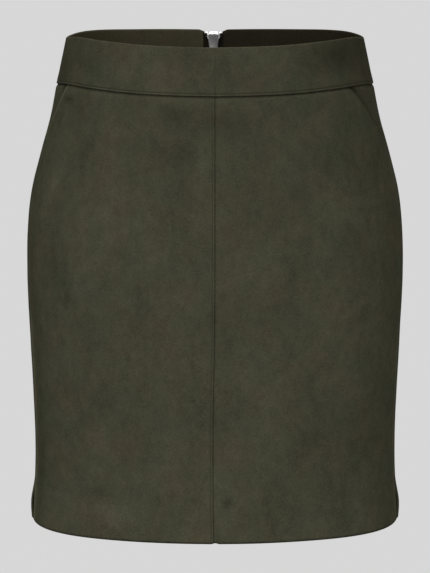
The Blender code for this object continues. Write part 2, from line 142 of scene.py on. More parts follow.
def by_height(function, z):
    """function(height) for each of many heights, worked out once for each different one."""
    heights, which = np.unique(np.asarray(z, float), return_inverse=True)
    return np.array([function(float(height)) for height in heights])[which].reshape(np.shape(z))


def half_girth(z):
    return by_height(lambda height: outline_at(height)[2][-1], z)


def widest(z):
    return by_height(lambda height: outline_at(height)[2][OUTLINE_STEPS // 2], z)


def on_form(along, z):
    """Points of the bare form. Past the centre back they go on up the other side."""
    along, z = np.broadcast_arrays(np.asarray(along, float), np.asarray(z, float))
    points = np.empty(along.shape + (3,))
    for height in np.unique(z):
        here = z == height
        x, y, distance = outline_at(float(height))
        reach, side = np.abs(along[here]), np.where(along[here] < 0, -1.0, 1.0)
        past = reach > distance[-1]
        reach = np.where(past, 2 * distance[-1] - reach, reach)
        side = np.where(past, -side, side)
        faded = (BAND_SEAM_Z - height) / (BAND_SEAM_Z - WAISTLINE_FADE_Z)
        rise = curve_through(WAISTLINE, "rise", reach / distance[-1]) * smooth(1 - faded)
        sag_share = smooth((HEM_SAG_TOP_Z - height) / HEM_SAG_RUN)
        notch_share = smooth((HEM_NOTCH_TOP_Z - height) / HEM_NOTCH_RUN)
        rise = rise - HEM_SAG * bump(reach / HEM_SAG_HALF) * sag_share
        rise = rise + HEM_NOTCH * bump(reach / HEM_NOTCH_HALF) * notch_share
        x, y = side * np.interp(reach, distance, x), np.interp(reach, distance, y)
        points[here] = np.stack([x, y, height + rise], axis=-1)
    return points


def outward(along, z):
    across = on_form(along + SLOPE_STEP, z) - on_form(along - SLOPE_STEP, z)
    up = on_form(along, np.minimum(z + SLOPE_STEP, 0.0)) - on_form(along, z - SLOPE_STEP)
    normal = np.cross(across, up)
    return normal / np.linalg.norm(normal, axis=-1, keepdims=True)


HIPS_Z = -0.2
waist, hips = (round(2000 * float(half_girth(height))) for height in (0.0, HIPS_Z))
print("waist", waist, "mm, hips", hips, "mm round")

# %% [markdown]
# ## Folds and dents
#
# Worn suede hangs nearly smooth. The large folds are in the frame, so the shells repeat them. Between
# them lie small dents: where the turned-up hem pulls at the cloth, and where a pocket bends. Each is a
# soft trough, listed one by one, and the back has similar ones.

# %% Troughs in the cloth
Fold = namedtuple("Fold", "along z half_width half_height depth")
FOLDS = (
    Fold(-0.150, -0.235, 0.045, 0.120, 0.0016),
    Fold(0.162, -0.255, 0.045, 0.125, 0.0015),
    Fold(-0.075, -0.330, 0.050, 0.110, 0.0010),
    Fold(0.095, -0.370, 0.050, 0.080, 0.0010),
    Fold(-0.350, -0.300, 0.045, 0.130, 0.0020),
    Fold(0.342, -0.285, 0.045, 0.140, 0.0020),
    Fold(-0.420, -0.345, 0.032, 0.095, 0.0014),
    Fold(0.428, -0.360, 0.030, 0.080, 0.0013),
)
Dent = namedtuple("Dent", "along z half_length half_width angle depth")
DENTS = (
    Dent(0.012, -0.411, 0.014, 0.0065, -62, 0.00085),  # beside the centre front, over the hem's edge
    Dent(-0.020, -0.421, 0.016, 0.0050, 66, 0.00050),
    Dent(-0.186, -0.402, 0.012, 0.0075, 30, 0.00080),  # by the right side slit
    Dent(-0.171, -0.413, 0.018, 0.0070, 62, 0.00060),
    Dent(0.205, -0.414, 0.014, 0.0070, 8, 0.00080),  # by the left side slit
    Dent(0.110, -0.416, 0.030, 0.0060, 4, 0.00022),
    Dent(-0.095, -0.417, 0.034, 0.0060, -3, 0.00022),
    Dent(0.130, -0.0575, 0.0085, 0.0022, -8, 0.00060),  # by the left pocket's mouth
    Dent(-0.152, -0.0560, 0.010, 0.0055, 12, 0.00070),  # by the right pocket's mouth
    Dent(-0.158, -0.0690, 0.009, 0.0045, 70, 0.00060),
    Dent(0.168, -0.120, 0.045, 0.0100, 74, 0.00055),  # drag lines below the pockets
    Dent(-0.172, -0.150, 0.050, 0.0110, -78, 0.00050),
    Dent(0.455, -0.414, 0.018, 0.0065, 58, 0.00075),  # the same on the back
    Dent(-0.448, -0.409, 0.015, 0.0060, -48, 0.00065),
    Dent(0.300, -0.412, 0.016, 0.0070, 20, 0.00070),
    Dent(-0.290, -0.405, 0.014, 0.0070, -25, 0.00070),
    Dent(0.380, -0.205, 0.070, 0.0140, 14, 0.00060),
    Dent(-0.372, -0.228, 0.060, 0.0130, -18, 0.00055),
)
UNEVEN = ((22.0, 0.00022), (70.0, 0.00007))  # how often per metre, and how deep, the cloth wavers


def within(mark, along, z):
    """How strongly a dent or mark, an oval turned by its angle, shows at each place."""
    turn = math.radians(mark.angle)
    across, up = along - mark.along, z - mark.z
    length = across * math.cos(turn) + up * math.sin(turn)
    width = up * math.cos(turn) - across * math.sin(turn)
    return bump(length / mark.half_length) * bump(width / mark.half_width)


def troughs(along, z):
    total = sum(
        fold.depth * bump((along - fold.along) / fold.half_width) * bump((z - fold.z) / fold.half_height)
        for fold in FOLDS
    )
    return total + sum(dent.depth * within(dent, along, z) for dent in DENTS)


def wavering(points):
    """A small depth that changes softly over the cloth, from smooth noise."""
    flat = points.reshape(-1, 3)
    total = np.zeros(len(flat))
    for often, deep in UNEVEN:
        total += deep * np.array([noise.noise(Vector(point) * often) for point in flat])
    return total.reshape(points.shape[:-1])


def on_cloth(along, z, depth):
    """Points that lie `depth` under the bare form, with its folds, dents and wavering."""
    base = on_form(along, z)
    return base - outward(along, z) * (depth + troughs(along, z) + wavering(base))[..., None]


print(len(FOLDS), "folds and", len(DENTS), "dents")

# %% [markdown]
# ## Marks in the nap, and painted light and shade
#
# Where a hand or a fold has brushed the nap, it lies another way and looks lighter or darker. Some
# marks are painted light and shade instead: painted shade over the hips, painted light towards the
# hem, and painted shade in a few dents and creases. None of these marks is in the cloth's shape, so
# they go into a colour attribute called nap, painted here and read by the material. Ovals are patches
# brushed one way, or painted shade and light where noted. Stripes are painted highlights on the
# waistband's edges and painted shade in its sewing, in the seam below it and under the hem. The
# waistband is cut across the nap of the skirt, so its tones differ most. Inside, its facing gets
# painted shade on the wearer's left.

# %% Light and dark marks
# marks of brushed nap, and marks of painted light and painted shade
NapAndPaintedLightMark = namedtuple("NapAndPaintedLightMark", "along z half_length half_width angle tone")
BAND_MARKS = (
    NapAndPaintedLightMark(0.230, -0.020, 0.190, 0.090, 0, -0.22),  # the waistband's far ends
    NapAndPaintedLightMark(0.118, -0.014, 0.052, 0.026, 0, -0.34),
    NapAndPaintedLightMark(-0.166, -0.034, 0.022, 0.020, 0, -0.18),
    NapAndPaintedLightMark(-0.205, -0.020, 0.095, 0.090, 0, -0.16),
    NapAndPaintedLightMark(-0.069, -0.016, 0.034, 0.024, 20, 0.15),
    NapAndPaintedLightMark(0.036, -0.010, 0.022, 0.018, 0, 0.08),
    NapAndPaintedLightMark(0.010, -0.027, 0.012, 0.022, 0, -0.10),
)
SKIRT_MARKS = (
    NapAndPaintedLightMark(0.000, -0.060, 0.500, 0.150, 0, -0.13),  # painted shade, darker over the hips and upper skirt
    # painted light, lighter towards the hem
    NapAndPaintedLightMark(0.000, -0.450, 0.600, 0.110, 0, 0.07),
    NapAndPaintedLightMark(-0.152, -0.0560, 0.011, 0.005, 0, -0.36),  # painted shade in the crease under the band by the right pocket, here and on the next mark
    NapAndPaintedLightMark(-0.163, -0.074, 0.016, 0.005, 70, -0.24),
    NapAndPaintedLightMark(-0.130, -0.064, 0.045, 0.017, 0, -0.08),
    NapAndPaintedLightMark(-0.040, -0.060, 0.026, 0.018, 10, -0.20),
    NapAndPaintedLightMark(0.002, -0.066, 0.046, 0.024, 0, -0.18),
    NapAndPaintedLightMark(-0.034, -0.096, 0.040, 0.020, 0, -0.14),
    NapAndPaintedLightMark(0.078, -0.133, 0.030, 0.022, 0, -0.12),
    NapAndPaintedLightMark(0.142, -0.232, 0.052, 0.034, 0, 0.13),
    NapAndPaintedLightMark(-0.150, -0.205, 0.034, 0.036, 0, -0.09),
    NapAndPaintedLightMark(0.136, -0.430, 0.022, 0.020, 0, 0.11),
    NapAndPaintedLightMark(-0.013, -0.105, 0.050, 0.012, 88, 0.14),
    NapAndPaintedLightMark(-0.120, -0.090, 0.030, 0.016, 60, -0.14),
    NapAndPaintedLightMark(-0.167, -0.134, 0.026, 0.014, 75, 0.20),
    NapAndPaintedLightMark(-0.106, -0.150, 0.040, 0.009, 35, 0.12),
    NapAndPaintedLightMark(-0.088, -0.168, 0.034, 0.006, 28, 0.12),
    NapAndPaintedLightMark(-0.143, -0.232, 0.012, 0.007, 70, -0.21),
    NapAndPaintedLightMark(0.040, -0.330, 0.080, 0.050, 60, 0.08),
    NapAndPaintedLightMark(0.127, -0.150, 0.050, 0.022, 8, 0.11),
    NapAndPaintedLightMark(0.134, -0.250, 0.018, 0.010, 30, -0.14),
    NapAndPaintedLightMark(0.156, -0.200, 0.022, 0.009, 80, -0.12),
    NapAndPaintedLightMark(-0.092, -0.427, 0.045, 0.020, 0, 0.20),
    # painted shade in the dent beside the centre front, over the hem's edge
    NapAndPaintedLightMark(0.011, -0.413, 0.009, 0.007, 0, -0.42),
    NapAndPaintedLightMark(0.008, -0.433, 0.016, 0.007, 90, 0.13),
    NapAndPaintedLightMark(-0.104, -0.404, 0.016, 0.009, 20, -0.15),
    NapAndPaintedLightMark(0.330, -0.120, 0.050, 0.016, 50, 0.14),  # the back, as a guess
    NapAndPaintedLightMark(0.395, -0.290, 0.045, 0.020, 70, -0.15),
    NapAndPaintedLightMark(-0.350, -0.180, 0.050, 0.014, 40, 0.12),
    NapAndPaintedLightMark(-0.410, -0.330, 0.040, 0.018, 15, -0.14),
    NapAndPaintedLightMark(0.440, -0.420, 0.050, 0.020, 0, 0.15),
    NapAndPaintedLightMark(-0.300, -0.070, 0.040, 0.014, 5, -0.18),
)
NAP_AND_PAINTED_LIGHT_MARKS = {"band": BAND_MARKS, "skirt": SKIRT_MARKS}
BASE_TONES = {"band": 0.83, "skirt": 1.0}
FACING_PAINTED_SHADE = {1: -0.60, -1: 0.0}  # painted shade inside the waistband on the wearer's left, none on the right

# stripes of painted highlight and painted shade along the band's edges, its sewing, the seam below it and
# the hem
PaintedLightStripe = namedtuple("PaintedLightStripe", "z half_height tone")
PAINTED_LIGHT_STRIPES = {
    "band": (
        PaintedLightStripe(-0.0420, 0.0011, 0.22),  # painted highlight on the lower edge
        PaintedLightStripe(-0.0408, 0.0008, -0.42),  # painted shade in its line of sewing
        PaintedLightStripe(0.0, 0.0020, 0.22),  # painted highlight on the top edge
    ),
    "skirt": (
        PaintedLightStripe(-0.043, 0.0026, -0.62),  # painted shadow under the band, in its seam
        PaintedLightStripe(-0.450, 0.0034, -0.62),  # painted shade under the hem's fold
    ),
}


# the tone of the nap, with painted light and shade, at each place
def nap_and_painted_light(kind, along, z):
    zone = "band" if kind == "band" else "skirt"
    tone = 1 + sum(mark.tone * within(mark, along, z) for mark in NAP_AND_PAINTED_LIGHT_MARKS[zone])
    for painted_stripe in PAINTED_LIGHT_STRIPES[zone]:
        tone = tone * (1 + painted_stripe.tone * bump((z - painted_stripe.z) / painted_stripe.half_height))
    return BASE_TONES[zone] * tone


print({zone: len(marks) for zone, marks in NAP_AND_PAINTED_LIGHT_MARKS.items()}, "marks in the nap")

# %% [markdown]
# ## The lines of the cut
#
# Seams, pocket mouths, slits and the zip's opening are lines on the form. They are short functions of
# height, as in the frame, so neighbouring panels always share one line.

# %% Seam lines
SeamShift = namedtuple("SeamShift", "z forward")
SIDE_SEAM = (
    SeamShift(0.000, 0.004),
    SeamShift(-0.110, 0.006),
    SeamShift(-0.260, 0.021),
    SeamShift(-0.450, 0.022),
)
SLIT_TOP_Z = -0.412
SLIT_FLARE = 0.0024
SLIT_FLARE_AT_HEM = 0.0010
SLIT_BELLY_Z = -0.434
SLIT_SPREAD = 0.003
SLIT_FADE = 0.060
FRONT_SEAM_SWAY = 0.0018
FRONT_SEAM_SWAY_Z = -0.375
FRONT_SEAM_SWAY_REACH = 0.170
HALF_GAP = 0.00012  # half the gap that a sewn seam keeps
PRESSED = 0.00010  # how far each of two folds is pressed into the other where the seam is pulled tight

Pocket = namedtuple("Pocket", "side start end_z curve")
POCKETS = {"left": Pocket(1, 0.137, -0.110, 0.97), "right": Pocket(-1, 0.161, -0.100, 1.25)}
POCKET_TUCK = 0.022
POCKET_BELOW = 0.030
HIP_DEPTH = 0.0046
HIP_RISE = 0.014

BACK_SHIFT = 0.0015
ZIP_BOTTOM_Z = -0.183
ZIP_EDGE = 0.0070
ZIP_EDGE_TOP = 0.0085
ZIP_EDGE_TOP_REACH = 0.018
NOTCH_DROP = 0.0024
NOTCH_RUN = 0.0055
FACING_EDGE = 0.0100


def front_seam(z):
    """Signed: the centre-front seam sways to the wearer's right."""
    return -FRONT_SEAM_SWAY * bump((z - FRONT_SEAM_SWAY_Z) / FRONT_SEAM_SWAY_REACH)


def side_seam(z):
    return widest(z) - curve_through(SIDE_SEAM, "forward", z)


def slit_opening(z):
    return smooth((SLIT_TOP_Z - z) / (SLIT_TOP_Z - HEM_Z))


def pocket_mouth(pocket, z):
    seam, end = side_seam(z), float(side_seam(pocket.end_z))
    share = np.clip((BAND_SEAM_Z - z) / (BAND_SEAM_Z - pocket.end_z), 0.0, 1.0)
    mouth = pocket.start + (end - pocket.start) * share**pocket.curve
    return np.where(z <= pocket.end_z, seam, np.minimum(mouth, seam))


def zip_edge(z):
    return ZIP_EDGE + (ZIP_EDGE_TOP - ZIP_EDGE) * smooth((z + ZIP_EDGE_TOP_REACH) / ZIP_EDGE_TOP_REACH)


def band_top(distance):
    corner = 1 - np.clip((distance - ZIP_EDGE_TOP) / NOTCH_RUN, 0.0, 1.0)
    return -NOTCH_DROP * corner**2


def back_line(side, z):
    return half_girth(z) + side * BACK_SHIFT

# %% [markdown]
# ## How an edge of cloth is made
#
# A cut edge never shows: it is turned under, so the edge is a fold two layers thick and round. One
# rule shapes them all. Near an edge the outer face drops in a quarter circle and the wall closes to
# nothing, which makes the fold. As far as the cloth is turned under, the wall stays two layers thick.
# A line of sewing beside the edge presses a small groove.

# %% The folded edge
WALL = 0.0012
DOUBLE = 0.0023
ZIP_SIDE_WALL = 0.0015
BAND_WALL = 0.0024
BAND_LAYER = 0.0012
TURN = 0.010
HEM_TURN = 0.036
THINNEST = 0.00005
STITCH_IN = 0.0021
GROOVE = 0.00034
GROOVE_HALF = 0.0010
STEP_RUN = 0.0002

Edge = namedtuple("Edge", "distance roll turn lift reach stitched", defaults=(0.0, 0.0, 1.0, False))


def folded(edges, base_wall):
    """Depth of the outer face and thickness of the wall, from the distances to a panel's edges."""
    drop, lift, groove, wall = 0.0, 0.0, 0.0, base_wall
    for edge in edges:
        radius = np.asarray(edge.roll) / 2
        inside = np.clip(radius - edge.distance, 0.0, radius)
        drop = np.maximum(drop, radius - np.sqrt(radius**2 - inside**2))
        wall = np.maximum(wall, np.where(edge.distance < edge.turn, edge.roll, base_wall))
        lift = lift + edge.lift * (1 - smooth(edge.distance / edge.reach))
        if edge.stitched:
            groove = groove + GROOVE * bump((edge.distance - STITCH_IN) / GROOVE_HALF)
    return drop - lift + groove, np.maximum(wall - 2 * drop, THINNEST)


EDGE_STEPS = (
    0.0, 0.00008, 0.0003, 0.0006, 0.00115, 0.0016, 0.0021, 0.0026, 0.0031, 0.0040, 0.0055, 0.0075,
    TURN - STEP_RUN, TURN + STEP_RUN,
)


def steps_from(line, lines, sign):
    """Stations at fixed distances from one line. Each is a share of every line, and an offset."""
    shares = steps_beside(line, lines, np.array(EDGE_STEPS) * sign)
    return shares if sign > 0 else shares[::-1]


def steps_beside(line, lines, offsets):
    """Stations at given offsets from one line."""
    shares = np.zeros((len(offsets), lines + 1))
    shares[:, line] = 1.0
    shares[:, -1] = offsets
    return shares


def steps_between(first, second, count):
    """Even stations between two others, without either."""
    share = (np.arange(1, count) / count)[:, None]
    return first + (second - first) * share


def across(lines, count):
    """Stations over a panel: close together at its first and last line, even between them."""
    start, end = steps_from(0, lines, 1), steps_from(lines - 1, lines, -1)
    return np.vstack([start, steps_between(start[-1], end[0], count), end])


def places(stations, lines):
    """Distances for stations, given each line's distance as the last axis of an array."""
    return lines @ stations[:, :-1].T + stations[:, -1]

# %% [markdown]
# ## Laying a panel
#
# Every panel starts as Blender's own grid. Solidify gives the flat grid two faces and a rim, and is
# applied. Then both faces are laid on the form at once: the outer at the depth that the edges give,
# the inner one wall further in. Laying the two faces apart, and not with a live Solidify, is what
# lets the wall change thickness and the rims close round.

# %% Grid to cloth
FLAT_WALL = 0.001
SINGLE_WALL = WALL + 0.0002
RIGHT_SIDE, WRONG_SIDE = 0, 1
cloth_pieces = {}


def lay_cloth(name, along, z, side, shape, tone=1.0):
    """A closed shell of cloth. z is a height for each point or each row; shape gives depths and walls."""
    rows, columns = along.shape[0] - 1, along.shape[1] - 1
    z = np.broadcast_to(z, along.shape)
    bpy.ops.object.select_all(action="DESELECT")
    bpy.ops.mesh.primitive_grid_add(x_subdivisions=columns, y_subdivisions=rows, size=1)
    piece = bpy.context.object
    piece.name = piece.data.name = name
    wall = piece.modifiers.new("wall", "SOLIDIFY")
    wall.thickness = FLAT_WALL
    wall.offset = -1
    bpy.ops.object.modifier_apply(modifier=wall.name)
    flat = np.array([vertex.co for vertex in piece.data.vertices])
    station = np.rint((flat[:, 0] + 0.5) * columns).astype(int)
    if side < 0:
        station = columns - station
    row = np.rint((flat[:, 1] + 0.5) * rows).astype(int)
    inner = flat[:, 2] < -FLAT_WALL / 2
    outer_depth, walls = shape(along, z)
    faces = [on_cloth(side * along, z, depth) for depth in (outer_depth, outer_depth + walls)]
    laid = np.where(inner[:, None], faces[1][row, station], faces[0][row, station])
    piece.data.vertices.foreach_set("co", laid.astype(np.float32).ravel())
    kind = name.split("_")[0]
    # the nap attribute holds the nap's marks together with painted light and shade
    tones = (nap_and_painted_light(kind, side * along, z) * tone)[row, station]
    # the band's facing gets painted shade on the wearer's left
    if kind == "band":
        tones = np.where(inner, 1 + FACING_PAINTED_SHADE[side], tones)
    piece.data.attributes.new("nap", "FLOAT", "POINT").data.foreach_set("value", tones)
    single = walls[row, station] < SINGLE_WALL
    for face in piece.data.polygons:
        corners = list(face.vertices)
        wrong = inner[corners].all() and (kind == "band" or single[corners].any())
        face.material_index = WRONG_SIDE if wrong else RIGHT_SIDE
    piece.data.update()
    piece.data.shade_smooth()
    cloth_pieces[name] = piece
    print(name, len(piece.data.polygons), "faces")
    return piece

# %% [markdown]
# ## Fronts
#
# The two fronts meet in the centre-front seam. Its allowances are pressed to the wearer's right, so
# the right front ends in a raised fold, sewn through beside the edge, and the left front dips and runs
# on beneath it. Outwards each front ends in the pocket's mouth, and below that in the side seam and
# the slit. The hem is turned up inside. Along the mouths and the side seams, where the cloth is folded,
# each front gets painted highlights and painted shade that follow those lines.

# %% Heights and edges that fronts and backs share
ROW_HEIGHT = 0.0026
HEM_ROWS = 11
HEM_SWELL = 0.00018
HEM_SWELL_OVER = 0.002
SEAM_RUN = 0.004  # how soon a seam line or a wall changes along its length
BAND_OVERLAP_DIP = -0.0011
BAND_DIP_REACH = 0.0036
BAND_TUCK = 0.0030
TUCK_STEPS = (0.0003, 0.0007, 0.0012, 0.0022, BAND_TUCK - 0.0002, BAND_TUCK)
TUCK_RISE = 0.0006
TUCK_RUN = 0.0003
TUCK_WALL = 0.0005
UNDER_BAND = np.concatenate([BAND_SEAM_Z - np.array(EDGE_STEPS)[::-1], BAND_SEAM_Z + np.array(TUCK_STEPS)])


def tucked(z, depth, walls):
    """Above the band's seam a panel runs on up between the band's two layers."""
    above = z > BAND_SEAM_Z + THINNEST
    depth = depth - TUCK_RISE * smooth((z - BAND_SEAM_Z) / TUCK_RUN)
    return depth, np.where(above, np.minimum(walls, TUCK_WALL), walls)


def rows_between(low, high):
    return np.linspace(low, high, max(2, round((high - low) / ROW_HEIGHT)))[1:-1]


def panel_heights(marks_above=()):
    """Heights from the hem up, close together where the cloth folds."""
    hem = HEM_Z + np.array(EDGE_STEPS)
    low = HEM_Z + HEM_TURN + STEP_RUN
    parts = [hem, np.linspace(hem[-1], low - 2 * STEP_RUN, HEM_ROWS)[1:], [low]]
    for mark in marks_above:
        below = mark - np.array(EDGE_STEPS)[::-1]
        parts += [rows_between(low, below[0]), below, [mark + THINNEST]]
        low = mark + THINNEST
    return np.concatenate([*parts, rows_between(low, UNDER_BAND[0]), UNDER_BAND])


def band_seam_edges(z):
    """The dip towards the band's seam, and the raw edge inside the band."""
    seam = Edge(BAND_SEAM_Z - z, 0.0, 0.0, BAND_OVERLAP_DIP, BAND_DIP_REACH)
    return [seam, Edge(BAND_SEAM_Z + BAND_TUCK - z, TUCK_WALL)]


def common_edges(z):
    """The hem below and the seam under the band above, alike on fronts and backs."""
    return [Edge(z - HEM_Z, DOUBLE, HEM_TURN), *band_seam_edges(z)]


def hem_swell(z):
    """The turned-up hem pushes the cloth out a little, up to its edge."""
    return HEM_SWELL * smooth((HEM_Z + HEM_TURN + HEM_SWELL_OVER - z) / (2 * HEM_SWELL_OVER))


def pressed_seam(z):
    """How far a side seam's folds pass its line: pressed together above the slit, free below."""
    return PRESSED - (PRESSED + HALF_GAP) * smooth((SLIT_TOP_Z + SEAM_RUN - z) / SEAM_RUN)


print(len(panel_heights()), "rows on a front")

# %% Front panels
FRONT_COLUMNS = 78
MOUTH_WALL = 0.0028
MOUTH_LIFT = 0.0009
MOUTH_LIFT_REACH = 0.014
MOUTH_PRESSED_REACH = 0.012
MOUTH_DROOP = 0.0017
MOUTH_DROOP_REACH = 0.0045
UNDERLAP = 0.008
UNDERLAP_RUN = 0.0016
UNDERLAP_SINK = 0.00115
SEAM_DIP = 0.0007
SEAM_DIP_REACH = 0.0045
SEAM_ROLL = 0.0016
SEAM_RISE = 0.00035
SEAM_RISE_REACH = 0.010

EdgeTone = namedtuple("EdgeTone", "inward half_width")  # a strip along a front's outer edge
AT_MOUTH = EdgeTone(0.0030, 0.0046)
AT_SIDE = EdgeTone(0.0105, 0.0060)
BEFORE_SIDE = EdgeTone(0.027, 0.015)
MOUTH_PAINTED_LIGHT = {1: -0.40, -1: 1.00}  # painted shade on the fold of the wearer's left mouth, a painted highlight on the right's
SIDE_PAINTED_HIGHLIGHTS = {1: 0.35, -1: 0.65}  # painted highlights along the side seams
SIDE_PAINTED_SHADES = {1: 0.0, -1: -0.15}  # and painted shade on the strip before each
MOUTH_TONE_RUN = 0.010
SIDE_TONE_TOP_Z = -0.200
SIDE_SHADE_TOP_Z = -0.120
SIDE_TONE_FADE = 0.100


def front_outer(pocket, z):
    at_seam = smooth((pocket.end_z + SEAM_RUN - z) / SEAM_RUN)
    return pocket_mouth(pocket, z) - HALF_GAP + (pressed_seam(z) + HALF_GAP) * at_seam


def front_shape(pocket, reach, z):
    from_seam = reach - pocket.side * front_seam(z)
    from_outer = front_outer(pocket, z) - reach
    at_mouth = smooth((z - pocket.end_z) / SEAM_RUN)
    mouth_wall = DOUBLE + (MOUTH_WALL - DOUBLE) * at_mouth
    lift = MOUTH_LIFT * at_mouth * smooth((BAND_SEAM_Z - z) / MOUTH_PRESSED_REACH)
    edges = common_edges(z) + [Edge(from_outer, mouth_wall, TURN, lift, MOUTH_LIFT_REACH)]
    if pocket.side < 0:
        edges.append(Edge(from_seam - HALF_GAP, SEAM_ROLL, TURN, SEAM_RISE, SEAM_RISE_REACH, True))
        depth, walls = folded(edges, WALL)
    else:
        edges.append(Edge(from_seam + UNDERLAP, WALL))
        depth, walls = folded(edges, WALL)
        depth = depth + SEAM_DIP * (1 - smooth(from_seam / SEAM_DIP_REACH))
        depth = depth + UNDERLAP_SINK * smooth(-from_seam / UNDERLAP_RUN)
    droop = MOUTH_DROOP * (1 - smooth(from_outer / MOUTH_DROOP_REACH)) * at_mouth
    return tucked(z, depth + droop - hem_swell(z), walls)


def front_painted_light(pocket, reach, z):
    """Painted highlights and painted shade that follow the mouth and the side seam."""
    def strip(tone):
        return bump((pocket_mouth(pocket, z) - reach - tone.inward) / tone.half_width)

    at_mouth = strip(AT_MOUTH) * smooth((z - pocket.end_z) / MOUTH_TONE_RUN)
    at_side = strip(AT_SIDE) * smooth((SIDE_TONE_TOP_Z - z) / SIDE_TONE_FADE)
    before_side = strip(BEFORE_SIDE) * smooth((SIDE_SHADE_TOP_Z - z) / SIDE_TONE_FADE)
    lit = MOUTH_PAINTED_LIGHT[pocket.side] * at_mouth + SIDE_PAINTED_HIGHLIGHTS[pocket.side] * at_side
    return 1 + lit + SIDE_PAINTED_SHADES[pocket.side] * before_side


front_shapes = {}
for name, pocket in POCKETS.items():
    z = panel_heights()[:, None]
    inner = pocket.side * front_seam(z) + (HALF_GAP if pocket.side < 0 else -UNDERLAP)
    reach = places(across(2, FRONT_COLUMNS), np.concatenate([inner, front_outer(pocket, z)], axis=1))
    front_shapes[name] = partial(front_shape, pocket)
    lay_cloth(f"front_{name}", reach, z, pocket.side, front_shapes[name], front_painted_light(pocket, reach, z))

# %% [markdown]
# ## Hip pieces
#
# Behind each slant mouth lies the hip piece, the part of the pocket that shows. It starts well under
# the front, one step down, and comes up level with the back at the side seam.

# %% Hip pieces
HIP_AT_BAND = 0.1  # the share of its depth that a hip piece keeps where all layers are sewn together
HIP_AT_BAND_REACH = 0.007
HIP_PAINTED_SHADOWS = {1: 0.68, -1: 0.55}  # painted shadow of the front's fold along the mouth
HIP_PAINTED_SHADOW_HALF = 0.0065
HIP_COLUMNS = 34
HIP_ROWS = 56
HIP_CROWDING = 1.6  # above 1, the stations crowd towards the side seam


def hip_shape(pocket, reach, z):
    flush = np.where(z > pocket.end_z, smooth((reach - pocket_mouth(pocket, z)) / HIP_RISE), 0.0)
    depth, walls = folded([Edge(side_seam(z) + PRESSED - reach, WALL), *band_seam_edges(z)], WALL)
    pressed = HIP_AT_BAND + (1 - HIP_AT_BAND) * smooth((BAND_SEAM_Z - z) / HIP_AT_BAND_REACH)
    return tucked(z, depth + HIP_DEPTH * (1 - flush) * pressed, walls)


for name, pocket in POCKETS.items():
    low = np.linspace(pocket.end_z - POCKET_BELOW, UNDER_BAND[0], HIP_ROWS)[:-1]
    z = np.concatenate([low, UNDER_BAND])[:, None]
    mouth = pocket_mouth(pocket, z)
    first, last = mouth - POCKET_TUCK, side_seam(z) + PRESSED
    reach = first + (last - first) * (1 - (1 - np.linspace(0, 1, HIP_COLUMNS)) ** HIP_CROWDING)
    # painted shadow along each mouth
    shade = 1 - HIP_PAINTED_SHADOWS[pocket.side] * bump((reach - mouth) / HIP_PAINTED_SHADOW_HALF)
    lay_cloth(f"hip_{name}", reach, z, pocket.side, partial(hip_shape, pocket), shade)

# %% [markdown]
# ## Backs
#
# The backs meet below the zip in a seam pressed open, so both edges roll in alike. Above, their edges
# part round the zip and are sewn down beside it. A dart on each takes in the waist: a fold sewn inside,
# which shows as one pressed line that fades out at its point. The photograph doesn't show the back, so
# the darts are a guess at how such a skirt is cut.

# %% Back panels
BACK_COLUMNS = 92
DART_SHARE = 0.50
DART_POINT_Z = -0.150
DART_FADE = 0.055
DART_DEPTH = 0.0011
DART_HALF = 0.0021
DART_COLUMNS = 7
TAPE_TAIL_Z = ZIP_BOTTOM_Z - 0.016
ZIP_FOLD_RISE = 0.0002
ZIP_FOLD_REACH = 0.006
BACK_SEAM_DIP = -0.0002
BACK_SEAM_REACH = 0.003


def back_outer(z):
    return side_seam(z) - pressed_seam(z) + SLIT_SPREAD * slit_opening(z)


def dart_line(side, z):
    seam = side_seam(z)
    return seam + (back_line(side, z) - seam) * DART_SHARE


def back_shape(side, reach, z):
    from_back = back_line(side, z) - reach
    outer = back_outer(z)
    from_zip = np.hypot(np.maximum(from_back - zip_edge(z), 0.0), np.maximum(ZIP_BOTTOM_Z - z, 0.0))
    below_zip = np.where(z < ZIP_BOTTOM_Z, from_back + PRESSED, 1.0)
    seam_roll = np.where(z < TAPE_TAIL_Z, DOUBLE, ZIP_SIDE_WALL)
    depth, walls = folded([
        *common_edges(z),
        Edge(reach - outer, DOUBLE, TURN),
        Edge(from_zip, ZIP_SIDE_WALL, TURN, ZIP_FOLD_RISE, ZIP_FOLD_REACH, True),
        Edge(below_zip, seam_roll, TURN, BACK_SEAM_DIP, BACK_SEAM_REACH),
    ], WALL)
    dart = bump((reach - dart_line(side, z)) / DART_HALF) * smooth((z - DART_POINT_Z) / DART_FADE)
    swing = np.interp(z, (HEM_Z, SLIT_BELLY_Z, SLIT_TOP_Z), (SLIT_FLARE_AT_HEM, SLIT_FLARE, 0.0))
    flare = smooth(swing / SLIT_FLARE) * SLIT_FLARE * (1 - smooth((reach - outer) / SLIT_FADE))
    return tucked(z, depth + DART_DEPTH * dart - flare - hem_swell(z), walls)


start, end = steps_from(0, 3, 1), steps_from(2, 3, -1)
dart = steps_beside(1, 3, np.linspace(-DART_HALF, DART_HALF, DART_COLUMNS))
to_dart = steps_between(start[-1], dart[0], BACK_COLUMNS // 2)
from_dart = steps_between(dart[-1], end[0], BACK_COLUMNS // 2)
back_stations = np.vstack([start, to_dart, dart, from_dart, end])
back_shapes = {}
for name, pocket in POCKETS.items():
    z = panel_heights((ZIP_BOTTOM_Z,))[:, None]
    seam = back_line(pocket.side, z)
    inner = seam - np.where(z > ZIP_BOTTOM_Z, zip_edge(z), -PRESSED)
    reach = places(back_stations, np.concatenate([back_outer(z), dart_line(pocket.side, z), inner], axis=1))
    back_shapes[name] = partial(back_shape, pocket.side)
    lay_cloth(f"back_{name}", reach, z, pocket.side, back_shapes[name])

